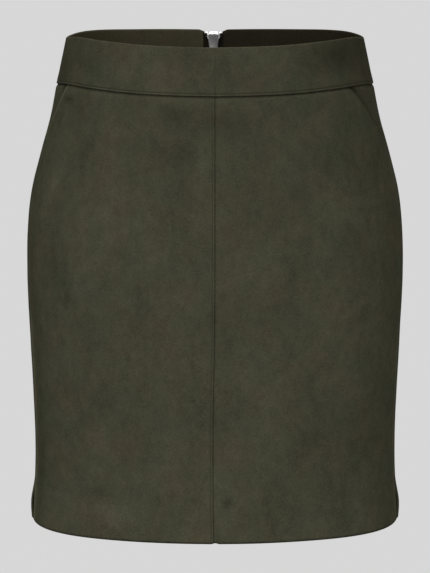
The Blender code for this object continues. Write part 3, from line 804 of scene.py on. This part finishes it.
# %% [markdown]
# ## Waistband
#
# The band is two layers, outer and facing, with the seam allowances of the skirt closed in between.
# That makes its lower edge stand proud of the skirt, which is partly why the seam below it reads as
# the darkest line; painted shadow in that seam and painted shade in the band's line of sewing add
# to it. It is sewn through just above the edge. Its own seam at the centre front is not sewn through.
# Beside the zip the facing stops short, so the tape can lie on the single outer layer.

# %% Waistband halves
BAND_COLUMNS = 150
BAND_ROWS = 14
BAND_LIFT = 0.0004
BAND_LIFT_REACH = 0.014
BAND_BOTTOM = BAND_SEAM_Z + HALF_GAP
BAND_FRONT_ROLL = 0.0006
BAND_FRONT_RISE = 0.0001
BAND_FRONT_REACH = 0.008
BAND_FRONT_DIP = -0.0004
BAND_FRONT_DIP_REACH = 0.006
BAND_UNDERLAP = 0.005
BAND_UNDERLAP_STEPS = (
    -BAND_UNDERLAP, -BAND_UNDERLAP + 0.0002, -0.003, -0.0012, -0.0008, -0.0005, -2 * HALF_GAP,
)
BAND_UNDERLAP_SINK = 0.0008
BAND_UNDERLAP_WALL = 0.0006
BAND_UNDERLAP_HEIGHT = 0.95
FACING_STEPS = (-0.0006, -STEP_RUN, 0.0)


def band_shape(side, reach, z):
    from_back = back_line(side, z) - reach
    top = band_top(back_line(side, 0.0) - reach)
    layer = BAND_LAYER + (BAND_WALL - BAND_LAYER) * smooth((from_back - FACING_EDGE + STEP_RUN) / STEP_RUN)
    edges = [
        Edge(z - BAND_BOTTOM, layer, 0.0, BAND_LIFT, BAND_LIFT_REACH, True),
        Edge(top - z, layer),
        Edge(from_back - zip_edge(z), BAND_LAYER, stitched=True),
    ]
    if side < 0:
        edges.append(Edge(reach - HALF_GAP, BAND_FRONT_ROLL, 0.0, BAND_FRONT_RISE, BAND_FRONT_REACH))
        return folded(edges, layer)
    edges.append(Edge(reach - HALF_GAP, 0.0, 0.0, BAND_FRONT_DIP, BAND_FRONT_DIP_REACH))
    edges.append(Edge(reach + BAND_UNDERLAP, BAND_UNDERLAP_WALL))
    depth, walls = folded(edges, layer)
    under = -HALF_GAP - reach
    depth = depth + BAND_UNDERLAP_SINK * smooth(under / BAND_UNDERLAP_SINK)
    return depth, np.where(under > -HALF_GAP, np.minimum(walls, BAND_UNDERLAP_WALL), walls)


def band_stations(side):
    """Stations from the centre front, past the facing's edge, to the zip."""
    start, end = steps_from(0, 3, 1), steps_from(2, 3, -1)[2:]
    facing = steps_beside(1, 3, FACING_STEPS)
    short = [row for row in end if 0.0 < -row[-1] < FACING_EDGE - ZIP_EDGE_TOP or row[-1] == 0.0]
    stations = [start, steps_between(start[-1], facing[0], BAND_COLUMNS), facing, short]
    if side > 0:
        stations.insert(0, steps_beside(0, 3, BAND_UNDERLAP_STEPS))
    return np.vstack(stations)


def band_reach(side, z, stations):
    """Distances of the stations. Each has its own heights, because the band's top isn't level."""
    back = back_line(side, z)
    lines = np.stack([np.full(z.shape, HALF_GAP), back - FACING_EDGE, back - zip_edge(z)], axis=-1)
    return (lines * stations[:, :-1]).sum(axis=-1) + stations[:, -1]


steps = np.array(EDGE_STEPS[:-2])
bottom_steps = np.stack([np.zeros_like(steps), steps], axis=1)
top_steps = np.stack([np.ones_like(steps), -steps], axis=1)[::-1]
band_rows = np.vstack([bottom_steps, steps_between(bottom_steps[-1], top_steps[0], BAND_ROWS), top_steps])
band_shapes = {}
for name, pocket in POCKETS.items():
    stations = band_stations(pocket.side)
    reach_top = band_reach(pocket.side, np.zeros((1, 1)), stations)[0]
    tops = band_top(back_line(pocket.side, 0.0) - reach_top)
    z = BAND_BOTTOM + (tops - BAND_BOTTOM) * band_rows[:, :1] + band_rows[:, 1:]
    lower = BAND_BOTTOM / 2 + (z - BAND_BOTTOM / 2) * BAND_UNDERLAP_HEIGHT
    z = np.where(reach_top < HALF_GAP - THINNEST, lower, z)
    band_shapes[name] = partial(band_shape, pocket.side)
    lay_cloth(f"band_{name}", band_reach(pocket.side, z, stations), z, pocket.side, band_shapes[name])

# %% [markdown]
# ## Stitches
#
# Topstitching is thread that dives into the cloth and comes up again, so one stitch is a short fat
# spindle with its ends bent down. One is modelled from a sphere, and a row of copies in one mesh
# follows the groove that the edge left for it. A curve with an array could do this too, but the
# copies would slide on a surface that bends both ways.

# %% One stitch, and rows of it
STITCH_PITCH = 0.0029
STITCH_LENGTH = 0.0024
STITCH_SAG = 0.00030
THREAD = 0.00026
THREAD_PROUD = 0.35  # of the thread's radius
ROW_FROM_SEAM = 0.0015  # how far from a seam, the hem or the zip's middle a row starts or ends
ROW_FROM_HEM = 0.0012
ROW_FROM_MIDDLE = 0.0006
ROW_TOP_Z = -0.0065


def taken_apart(model):
    """A model's points and faces, to copy. The model itself goes."""
    points = np.array([vertex.co for vertex in model.data.vertices])
    faces = [list(face.vertices) for face in model.data.polygons]
    bpy.data.objects.remove(model)
    return points, faces


bpy.ops.object.select_all(action="DESELECT")
bpy.ops.mesh.primitive_uv_sphere_add(segments=6, ring_count=6, radius=1)
stitch_points, stitch_faces = taken_apart(bpy.context.object)
stitch_points = stitch_points[:, [2, 0, 1]] * (STITCH_LENGTH / 2, THREAD, THREAD)
stitch_points[:, 2] -= STITCH_SAG * (stitch_points[:, 0] / (STITCH_LENGTH / 2)) ** 2


def joined_copies(name, points, faces, matrices):
    """One mesh of many copies of a small shape, a matrix for each."""
    count = len(points)
    together = np.concatenate([points @ np.array(m)[:3, :3].T + np.array(m)[:3, 3] for m in matrices])
    all_faces = [[corner + i * count for corner in face] for i in range(len(matrices)) for face in faces]
    mesh = bpy.data.meshes.new(name)
    mesh.from_pydata(together.tolist(), [], all_faces)
    mesh.validate()
    mesh.shade_smooth()
    made = bpy.data.objects.new(name, mesh)
    bpy.context.scene.collection.objects.link(made)
    print(name, len(matrices), "copies,", len(all_faces), "faces")
    return made


def frames_along(points, normals, pitch):
    """Matrices at even distances along a line: x along it, z out of the cloth."""
    lengths = np.concatenate(([0.0], np.cumsum(np.linalg.norm(np.diff(points, axis=0), axis=1))))
    count = int(lengths[-1] / pitch)
    start = (lengths[-1] - (count - 1) * pitch) / 2

    def at(rows, distance):
        return Vector([np.interp(distance, lengths, rows[:, k]) for k in range(3)])

    matrices = []
    for distance in start + np.arange(count) * pitch:
        place, out = at(points, distance), at(normals, distance).normalized()
        forward = (at(points, distance + pitch / 4) - place).normalized()
        sideways = out.cross(forward).normalized()
        matrix = Matrix((sideways.cross(out), sideways, out)).transposed().to_4x4()
        matrix.translation = place
        matrices.append(matrix)
    return matrices


thread_pieces = []


def stitch_row(name, reach, z, side, shape):
    """A row of stitches along a line of a panel, just out of its groove."""
    depth, _ = shape(reach, z)
    normals = outward(side * reach, z)
    points = on_cloth(side * reach, z, depth - THREAD * THREAD_PROUD)
    row = joined_copies(name, stitch_points, stitch_faces, frames_along(points, normals, STITCH_PITCH))
    thread_pieces.append(row)


# each row's line is read at enough points to follow the cloth, the last number of its linspace
row_z = np.linspace(HEM_Z + ROW_FROM_HEM, BAND_SEAM_Z - ROW_FROM_SEAM, 300)
reach = STITCH_IN + HALF_GAP - front_seam(row_z)
stitch_row("stitches_centre_front", reach, row_z, -1, front_shapes["right"])
for name, pocket in POCKETS.items():
    side, band, back = pocket.side, band_shapes[name], back_shapes[name]
    band_end = float(back_line(side, BAND_SEAM_Z)) - ZIP_EDGE - ROW_FROM_SEAM
    reach = np.linspace(ROW_FROM_SEAM, band_end, 320)
    stitch_row(f"stitches_band_{name}", reach, np.full(reach.shape, BAND_BOTTOM + STITCH_IN), side, band)
    row_z = np.linspace(ZIP_BOTTOM_Z - STITCH_IN, BAND_SEAM_Z - ROW_FROM_SEAM, 120)
    reach = back_line(side, row_z) - zip_edge(row_z) - STITCH_IN
    stitch_row(f"stitches_zip_{name}", reach, row_z, side, back)
    from_middle = np.linspace(ROW_FROM_MIDDLE, ZIP_EDGE + STITCH_IN - ROW_FROM_MIDDLE, 12)
    row_z = np.full(from_middle.shape, ZIP_BOTTOM_Z - STITCH_IN)
    stitch_row(f"stitches_zip_end_{name}", back_line(side, row_z) - from_middle, row_z, side, back)
    row_z = np.linspace(BAND_BOTTOM + STITCH_IN, ROW_TOP_Z, 30)
    reach = back_line(side, row_z) - zip_edge(row_z) - STITCH_IN
    stitch_row(f"stitches_band_zip_{name}", reach, row_z, side, band)

# %% [markdown]
# ## Zip tapes
#
# A zip's tape is a narrow woven ribbon, thicker where the teeth grip it. Each is laid as the panels
# are, one wall thick, on the inside of the cloth, and its inner edge goes into the teeth.

# %% Tapes
TAPE = 0.0007
TAPE_EDGE_BAND = 0.0105
TAPE_EDGE = 0.0150
TAPE_DEPTH_BAND = BAND_LAYER + 0.0003
TAPE_DEPTH = 0.0019
TAPE_SINK = 0.004
TAPE_STEP_Z = BAND_SEAM_Z - 0.003
TAPE_BOTTOM_Z = ZIP_BOTTOM_Z - 0.014
TAPE_TOP_Z = -0.001
TAPE_DROP_Z = -0.012
TAPE_PART_Z = -0.018  # the tapes part above this, round the slider and the stops
TAPE_PART_RUN = 0.012
TAPE_IN_TEETH = 0.0012
TAPE_AT_STOP = 0.0055
TAPE_COLUMNS = 10
TAPE_ROWS = 110


def tape_depth(z):
    share = smooth((BAND_SEAM_Z + TAPE_SINK / 2 - z) / TAPE_SINK)
    return TAPE_DEPTH_BAND + (TAPE_DEPTH - TAPE_DEPTH_BAND) * share


def tape_shape(reach, z):
    return tape_depth(z), np.full(reach.shape, TAPE)


for name, pocket in POCKETS.items():
    heights = np.linspace(TAPE_BOTTOM_Z, TAPE_TOP_Z, TAPE_ROWS)
    z = np.repeat(heights[:, None], TAPE_COLUMNS + 1, axis=1)
    parted = smooth((z - TAPE_PART_Z) / TAPE_PART_RUN)
    inner = TAPE_IN_TEETH + (TAPE_AT_STOP - TAPE_IN_TEETH) * parted
    outer = np.where(z > TAPE_STEP_Z, TAPE_EDGE_BAND, TAPE_EDGE)
    from_back = outer + (inner - outer) * np.linspace(0, 1, TAPE_COLUMNS + 1)
    z = z + smooth((z - TAPE_DROP_Z) / (TAPE_TOP_Z - TAPE_DROP_Z)) * band_top(from_back)
    lay_cloth(f"tape_{name}", back_line(pocket.side, z) - from_back, z, pocket.side, tape_shape)

# %% [markdown]
# ## Teeth
#
# Metal teeth are small bars clamped round the tape's edge, one side between the other's. One is a cube
# drawn out to a narrower head with a rounded nib. Copies of it, left and right half a step apart,
# climb the centre back into the slider.

# %% One tooth, and the chain
TOOTH_PITCH = 0.0024
TOOTH_HIGH = 0.00125
TOOTH_THICK = 0.0025
TOOTH_ROOT = 0.0033
TOOTH_HEAD = 0.0006
TOOTH_HEAD_SHARES = (1, 0.72, 0.62)  # the head's size, as shares of the root's
TOOTH_ROUND = 0.00017
CHAIN_BOTTOM_Z = ZIP_BOTTOM_Z + 0.0048
SLIDER_Z = -0.0103

bpy.ops.object.select_all(action="DESELECT")
bpy.ops.mesh.primitive_cube_add(size=1, location=(TOOTH_ROOT / 2, 0, 0))
tooth = bpy.context.object
tooth.scale = (TOOTH_ROOT, TOOTH_THICK, TOOTH_HIGH)
bpy.ops.object.transform_apply(location=True, rotation=True, scale=True)
bpy.ops.object.mode_set(mode="EDIT")
bpy.ops.mesh.select_all(action="DESELECT")
bpy.ops.object.mode_set(mode="OBJECT")
for face in tooth.data.polygons:
    face.select = face.normal.x < -0.5
bpy.ops.object.mode_set(mode="EDIT")
bpy.ops.mesh.extrude_region_move(TRANSFORM_OT_translate={"value": (-TOOTH_HEAD, 0, 0)})
bpy.ops.transform.resize(value=TOOTH_HEAD_SHARES)
bpy.ops.mesh.select_all(action="SELECT")
bpy.ops.mesh.bevel(offset=TOOTH_ROUND, segments=1, affect="EDGES")
bpy.ops.object.mode_set(mode="OBJECT")
tooth_points, tooth_faces = taken_apart(tooth)

centre_z = np.linspace(CHAIN_BOTTOM_Z, SLIDER_Z, 400)
centre_along = back_line(1, centre_z)
centre_points = on_cloth(centre_along, centre_z, tape_depth(centre_z) + TAPE / 2)
centre_out = outward(centre_along, centre_z)
tooth_matrices = []
for i, matrix in enumerate(frames_along(centre_points, centre_out, TOOTH_PITCH / 2)):
    up, sideways, out = (matrix.col[k].to_3d() for k in range(3))
    turned = Matrix((-sideways, out, -up)) if i % 2 else Matrix((sideways, out, up))
    placed = turned.transposed().to_4x4()
    placed.translation = matrix.translation
    tooth_matrices.append(placed)
metal_pieces = {"zip_chain": joined_copies("zip_teeth", tooth_points, tooth_faces, tooth_matrices)}

# %% [markdown]
# ## Slider, pull and stops
#
# These castings have their true shape in the frame already, but with knife edges. A copy of each is
# merged, its loose triangles are joined into flat faces, and its edges are rounded with Bevel, so
# that the plating catches the light. The largest faces of the slider and the pull get a sunk panel.

# %% Cast and stamped pieces
MERGE = 1e-6
FLAT_ANGLE = math.radians(1.5)  # triangles that are this close to level are one face
EDGE_ANGLE = math.radians(28)  # an edge that turns by more than this is rounded
SMOOTH_ANGLE = math.radians(40)
PLATE_SHARE = 0.8  # a plate is a face with this share of the largest face's area

Casting = namedtuple("Casting", "node name round_by panel_in panel_deep")
CASTINGS = (
    Casting("zip_slider", "slider_body", 0.00038, 0.0010, 0.00040),
    Casting("zip_pull", "pull_tab", 0.00022, 0.0009, 0.00018),
    Casting("zip_top_stop_left", "top_stop_left", 0.00012, 0.0, 0.0),
    Casting("zip_top_stop_right", "top_stop_right", 0.00012, 0.0, 0.0),
    Casting("zip_bottom_stop", "bottom_stop", 0.00012, 0.0, 0.0),
)


def sink_panels(mesh, inward, deep):
    """Insets the largest faces and sinks what lies within."""
    largest = max(face.area for face in mesh.polygons)
    for element in (mesh.vertices, mesh.edges):
        element.foreach_set("select", [False] * len(element))
    for face in mesh.polygons:
        face.select = face.area > largest * PLATE_SHARE
    bpy.ops.object.mode_set(mode="EDIT")
    bpy.ops.mesh.inset(thickness=inward, depth=-deep, use_individual=True)
    bpy.ops.object.mode_set(mode="OBJECT")


def rounded_copy(casting):
    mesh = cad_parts[casting.node].data.copy()
    mesh.name = casting.name
    piece = bpy.data.objects.new(casting.name, mesh)
    bpy.context.scene.collection.objects.link(piece)
    bpy.ops.object.select_all(action="DESELECT")
    piece.select_set(True)
    bpy.context.view_layer.objects.active = piece
    bpy.ops.object.mode_set(mode="EDIT")
    bpy.ops.mesh.select_all(action="SELECT")
    bpy.ops.mesh.customdata_custom_splitnormals_clear()
    bpy.ops.mesh.remove_doubles(threshold=MERGE)
    bpy.ops.mesh.dissolve_limited(angle_limit=FLAT_ANGLE)
    bpy.ops.object.mode_set(mode="OBJECT")
    if casting.panel_deep:
        sink_panels(mesh, casting.panel_in, casting.panel_deep)
    bevel = piece.modifiers.new("rounded", "BEVEL")
    bevel.width = casting.round_by
    bevel.segments = 3
    bevel.limit_method = "ANGLE"
    bevel.angle_limit = EDGE_ANGLE
    bpy.ops.object.modifier_apply(modifier=bevel.name)
    bpy.ops.object.shade_smooth_by_angle(angle=SMOOTH_ANGLE)
    print(casting.name, len(mesh.polygons), "faces")
    return piece


for casting in CASTINGS:
    metal_pieces[casting.node] = rounded_copy(casting)

# %% [markdown]
# ## Suede
#
# Faux suede is a short brushed nap on a fine backing. What the eye reads is not a pattern but a
# patchy change of tone, where the nap lies one way or the other, over a fine grain. The tone changes
# at four sizes, from patches to grain, so it is noise at four scales, and the two large ones are drawn
# out a little up and down as the nap is brushed. The group gives masks and a height only; the shader
# itself stays in the material. Small helpers place the nodes, because every material needs the same few.

# %% The nap, as a node group
def feed(tree, socket, value):
    """Sets a socket, or links it where the value is another node's output."""
    if isinstance(value, bpy.types.NodeSocket):
        tree.links.new(value, socket)
    else:
        socket.default_value = value


def new_node(tree, kind, inputs, **settings):
    """A node with its settings made first and then its inputs fed."""
    made = tree.nodes.new("ShaderNode" + kind)
    for setting, value in settings.items():
        setattr(made, setting, value)
    for label, value in inputs.items():
        feed(tree, made.inputs[label], value)
    return made


def noise_node(tree, vector, scale, detail, roughness=0.55):
    inputs = {"Vector": vector, "Scale": scale, "Detail": detail, "Roughness": roughness}
    return new_node(tree, "TexNoise", inputs).outputs["Fac"]


def maths(tree, operation, *values):
    return new_node(tree, "Math", dict(enumerate(values)), operation=operation).outputs[0]


nap = bpy.data.node_groups.new("brushed_nap", "ShaderNodeTree")
nap.interface.new_socket(name="Vector", in_out="INPUT", socket_type="NodeSocketVector")
patchiness = nap.interface.new_socket(name="Patchiness", in_out="INPUT", socket_type="NodeSocketFloat")
patchiness.default_value = 1.0
for label in ("Tone", "Hue", "Height"):
    nap.interface.new_socket(name=label, in_out="OUTPUT", socket_type="NodeSocketFloat")
nap_in, nap_out = nap.nodes.new("NodeGroupInput").outputs, nap.nodes.new("NodeGroupOutput").inputs

BRUSHED_TURN = (0.0, math.radians(14), 0.0)
BRUSHED_SCALE = (1.0, 1.0, 0.75)
brushed = {"Vector": nap_in["Vector"], "Rotation": BRUSHED_TURN, "Scale": BRUSHED_SCALE}
stroked = new_node(nap, "Mapping", brushed).outputs["Vector"]
patches = noise_node(nap, stroked, 24.0, 3.0)
marks = noise_node(nap, stroked, 120.0, 4.0, 0.65)
fibres = noise_node(nap, nap_in["Vector"], 620.0, 3.0, 0.7)
grain = noise_node(nap, nap_in["Vector"], 1600.0, 2.0)


def centred(mask, amount):
    """A mask made to swing by an amount about nought."""
    return maths(nap, "MULTIPLY_ADD", mask, amount, -amount / 2)


tone = maths(nap, "ADD", centred(patches, 0.54), centred(marks, 0.62))
tone = maths(nap, "MULTIPLY", tone, nap_in["Patchiness"])
tone = maths(nap, "ADD", maths(nap, "ADD", tone, centred(fibres, 1.00)), centred(grain, 0.50))
nap.links.new(maths(nap, "ADD", tone, 1.0), nap_out["Tone"])
nap.links.new(noise_node(nap, nap_in["Vector"], 34.0, 1.0), nap_out["Hue"])
nap.links.new(maths(nap, "MULTIPLY_ADD", marks, 0.6, maths(nap, "MULTIPLY", grain, 0.5)), nap_out["Height"])
print("nap group:", len(nap.nodes), "nodes")

# %% Suede materials
def new_material(name, values):
    """A material with values on its shader's sockets, its node tree, and those sockets."""
    made = bpy.data.materials.new(name)
    made.use_nodes = True
    sockets = made.node_tree.nodes["Principled BSDF"].inputs
    for label, value in values.items():
        sockets[label].default_value = value
    return made, made.node_tree, sockets


def own_place(tree):
    return new_node(tree, "TexCoord", {}).outputs["Object"]


def mixed(tree, first, second, factor):
    inputs = {"A": (*first, 1), "B": (*second, 1), "Factor": factor}
    return new_node(tree, "Mix", inputs, data_type="RGBA").outputs["Result"]


def add_relief(tree, sockets, height, strength, distance):
    relief = new_node(tree, "Bump", {"Height": height, "Strength": strength, "Distance": distance})
    tree.links.new(relief.outputs["Normal"], sockets["Normal"])


def suede(name, greener, browner, patchiness, sheen):
    """A cloth material whose colour wanders between two olives and whose tone follows the nap and the
    painted light and shade.
    """
    made, tree, sockets = new_material(name, {
        "Roughness": 0.95, "Specular IOR Level": 0.0,
        "Sheen Weight": sheen, "Sheen Roughness": 0.55, "Sheen Tint": (0.55, 0.55, 0.42, 1),
    })
    brushing = {"Vector": own_place(tree), "Patchiness": patchiness}
    cloth = new_node(tree, "Group", brushing, node_tree=nap).outputs
    spread = new_node(tree, "MapRange", {"Value": cloth["Hue"], "From Min": 0.30, "From Max": 0.70})
    colour = mixed(tree, greener, browner, spread.outputs["Result"])
    # the nap attribute holds the nap's marks and painted light and shade
    painted = new_node(tree, "Attribute", {}, attribute_name="nap").outputs["Fac"]
    tone = maths(tree, "MULTIPLY", cloth["Tone"], painted)
    toned = new_node(tree, "VectorMath", {0: colour, "Scale": tone}, operation="SCALE")
    tree.links.new(toned.outputs["Vector"], sockets["Base Color"])
    add_relief(tree, sockets, cloth["Height"], 0.35, 0.0003)
    return made


suede_face = suede("suede_face", (0.0468, 0.0490, 0.0312), (0.0536, 0.0492, 0.0316), 1.0, 0.02)
suede_back = suede("suede_back", (0.0500, 0.0460, 0.0280), (0.0540, 0.0460, 0.0280), 0.4, 0.0)
for name, piece in cloth_pieces.items():
    if not name.startswith("tape"):
        piece.data.materials.append(suede_face)
        piece.data.materials.append(suede_back)
print("suede:", suede_face.name, "outside,", suede_back.name, "inside")

# %% [markdown]
# ## Thread, tape and plated metal
#
# The thread matches the cloth but is smoother, so it shows by its gloss. The tape is a fine twill, a
# diagonal wave in its colour and its height. The teeth, pull and stops are plated and polished, with
# faint tumbling marks in their roughness and darker plating at random. The slider is plated satin, so
# it is rougher and paler. All the metal comes from one function.

# %% Other materials
PLATING_SPREAD = 0.08  # how far gloss and brightness change over a piece
PLATING_WARMTH = 0.015


def diagonal_wave(tree, scale):
    inputs = {"Vector": own_place(tree), "Scale": scale}
    return new_node(tree, "TexWave", inputs, wave_type="BANDS", bands_direction="DIAGONAL").outputs["Fac"]


def plating(name, roughest, brightest):
    made, tree, sockets = new_material(name, {"Metallic": 1.0})
    gloss = noise_node(tree, own_place(tree), 900.0, 3.0)
    ends = {"Value": gloss, "To Min": roughest - PLATING_SPREAD, "To Max": roughest}
    tree.links.new(new_node(tree, "MapRange", ends).outputs["Result"], sockets["Roughness"])
    bright = (brightest, brightest, brightest - PLATING_WARMTH)
    dull = [value - PLATING_SPREAD for value in bright]
    tone = mixed(tree, dull, bright, noise_node(tree, own_place(tree), 320.0, 2.0))
    tree.links.new(tone, sockets["Base Color"])
    return made


thread, tree, sockets = new_material(
    "thread", {"Base Color": (0.026, 0.026, 0.017, 1), "Roughness": 0.75, "Specular IOR Level": 0.06}
)
add_relief(tree, sockets, diagonal_wave(tree, 900.0), 0.4, 0.0001)

tape_cloth, tree, sockets = new_material("tape_twill", {"Roughness": 0.9, "Specular IOR Level": 0.03})
twill = diagonal_wave(tree, 420.0)
weave = mixed(tree, (0.0055, 0.0045, 0.0035), (0.0150, 0.0120, 0.0095), twill)
tree.links.new(weave, sockets["Base Color"])
add_relief(tree, sockets, twill, 0.5, 0.00015)

plated = plating("plated_metal", 0.28, 0.64)
satin = plating("satin_metal", 0.46, 0.84)

for piece in thread_pieces:
    piece.data.materials.append(thread)
for name, piece in cloth_pieces.items():
    if name.startswith("tape"):
        piece.data.materials.append(tape_cloth)
        piece.data.materials.append(tape_cloth)
for node, piece in metal_pieces.items():
    piece.data.materials.clear()
    piece.data.materials.append(satin if node == "zip_slider" else plated)
print("materials:", ", ".join(sorted(material.name for material in bpy.data.materials)))

# %% [markdown]
# ## Which piece stands for what
#
# Each shell stands for its plain wall and rides with the skirt; only the pull swings on its own. The
# band's halves are cut on a curve.

# %% Ride and replace
Cut = namedtuple("Cut", "width length area")
NODES = {
    "front": "front_panel", "back": "back_panel", "hip": "hip_piece",
    "band": "waistband", "tape": "zip_tape",
}
for name, piece in cloth_pieces.items():
    kind, side_name = name.split("_")
    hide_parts(f"{NODES[kind]}_{side_name}")
    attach(piece, "skirt")
for piece in thread_pieces:
    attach(piece, "skirt")
for node, piece in metal_pieces.items():
    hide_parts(node)
    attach(piece, "pull_tab" if node == "zip_pull" else "skirt")
print(len(cloth_pieces), "sheets,", len(thread_pieces), "rows of thread,", len(metal_pieces), "of metal")

# %% [markdown]
# ## Studio
#
# The photograph has one flat pale grey behind and below, with no shadow. A wide bowl with a level
# floor far below glows in that grey. It is hidden from the cloth's own lighting, which comes from a
# dim sky and large soft lamps: a key to the left of the camera, a weaker fill to its right, two faint
# ones that pick out the sides, low on the left and from behind on the right, and a high one behind.

# %% Floor, backdrop and sky
BOWL_RADIUS = 12.0
FLOOR_Z = -6.0
BACKDROP_GREY = 0.6795
SKY = 0.21

bpy.ops.object.select_all(action="DESELECT")
bpy.ops.mesh.primitive_uv_sphere_add(segments=96, ring_count=48, radius=BOWL_RADIUS)
bowl = bpy.context.object
bowl.name = "floor_and_backdrop"
for vertex in bowl.data.vertices:
    vertex.co.z = max(vertex.co.z, FLOOR_Z)
bpy.ops.object.mode_set(mode="EDIT")
bpy.ops.mesh.select_all(action="SELECT")
bpy.ops.mesh.remove_doubles(threshold=0.0001)
bpy.ops.mesh.normals_make_consistent(inside=True)
bpy.ops.object.mode_set(mode="OBJECT")
backdrop, tree, sockets = new_material("backdrop", {
    "Base Color": (0.0, 0.0, 0.0, 1), "Roughness": 1.0, "Specular IOR Level": 0.0,
    "Emission Color": (BACKDROP_GREY, BACKDROP_GREY, BACKDROP_GREY, 1), "Emission Strength": 1.0,
})
bowl.data.materials.append(backdrop)
bowl.visible_diffuse = False
bowl.visible_shadow = False

world = bpy.data.worlds.new("sky")
bpy.context.scene.world = world
world.use_nodes = True
world.node_tree.nodes["Background"].inputs["Color"].default_value = (SKY, SKY, SKY, 1)
bpy.context.scene.view_settings.view_transform = "Standard"
print("bowl", len(bowl.data.polygons), "faces, sky", SKY)

# %% Lamps
Lamp = namedtuple("Lamp", "name place size watts")
LAMPS = (
    Lamp("key_front_left", (-1.7, -2.5, 2.7), 1.1, 124.0),
    Lamp("fill_front_right", (1.75, -3.2, 0.6), 1.8, 58.0),
    Lamp("low_left", (-2.6, -1.7, -1.6), 1.6, 13.0),
    Lamp("side_right", (3.4, 1.3, 0.5), 1.6, 13.0),
    Lamp("back", (0.3, 3.0, 2.9), 1.8, 125.0),
)
LIT_POINT = Vector((0, 0, -0.23))
for lamp in LAMPS:
    place = Vector(lamp.place)
    turn = (LIT_POINT - place).to_track_quat("-Z", "Y").to_euler()
    bpy.ops.object.light_add(type="AREA", location=place, rotation=turn)
    light = bpy.context.object
    light.name = lamp.name
    light.data.size = lamp.size
    light.data.energy = lamp.watts

# %% [markdown]
# ## Camera
#
# The camera looks slightly down at the skirt from some way off, with a long lens, as the flat
# perspective of the waist's and hem's curves shows.

# %% Camera
CAMERA_DISTANCE = 3.4
CAMERA_ELEVATION = 9.8
CAMERA_TARGET = Vector((0, 0, -0.2336))
PIXELS_HIGH = 573
FOCAL_PIXELS = 3652.0
SENSOR = 36.0

tilt = math.radians(CAMERA_ELEVATION)
camera_place = CAMERA_TARGET + CAMERA_DISTANCE * Vector((0, -math.cos(tilt), math.sin(tilt)))
bpy.ops.object.camera_add(location=camera_place, rotation=(math.pi / 2 - tilt, 0, 0))
camera = bpy.context.object
camera.data.sensor_width = SENSOR
camera.data.lens = FOCAL_PIXELS * SENSOR / PIXELS_HIGH
bpy.context.scene.camera = camera
print("lens", round(camera.data.lens, 1), "mm at", CAMERA_DISTANCE, "m")
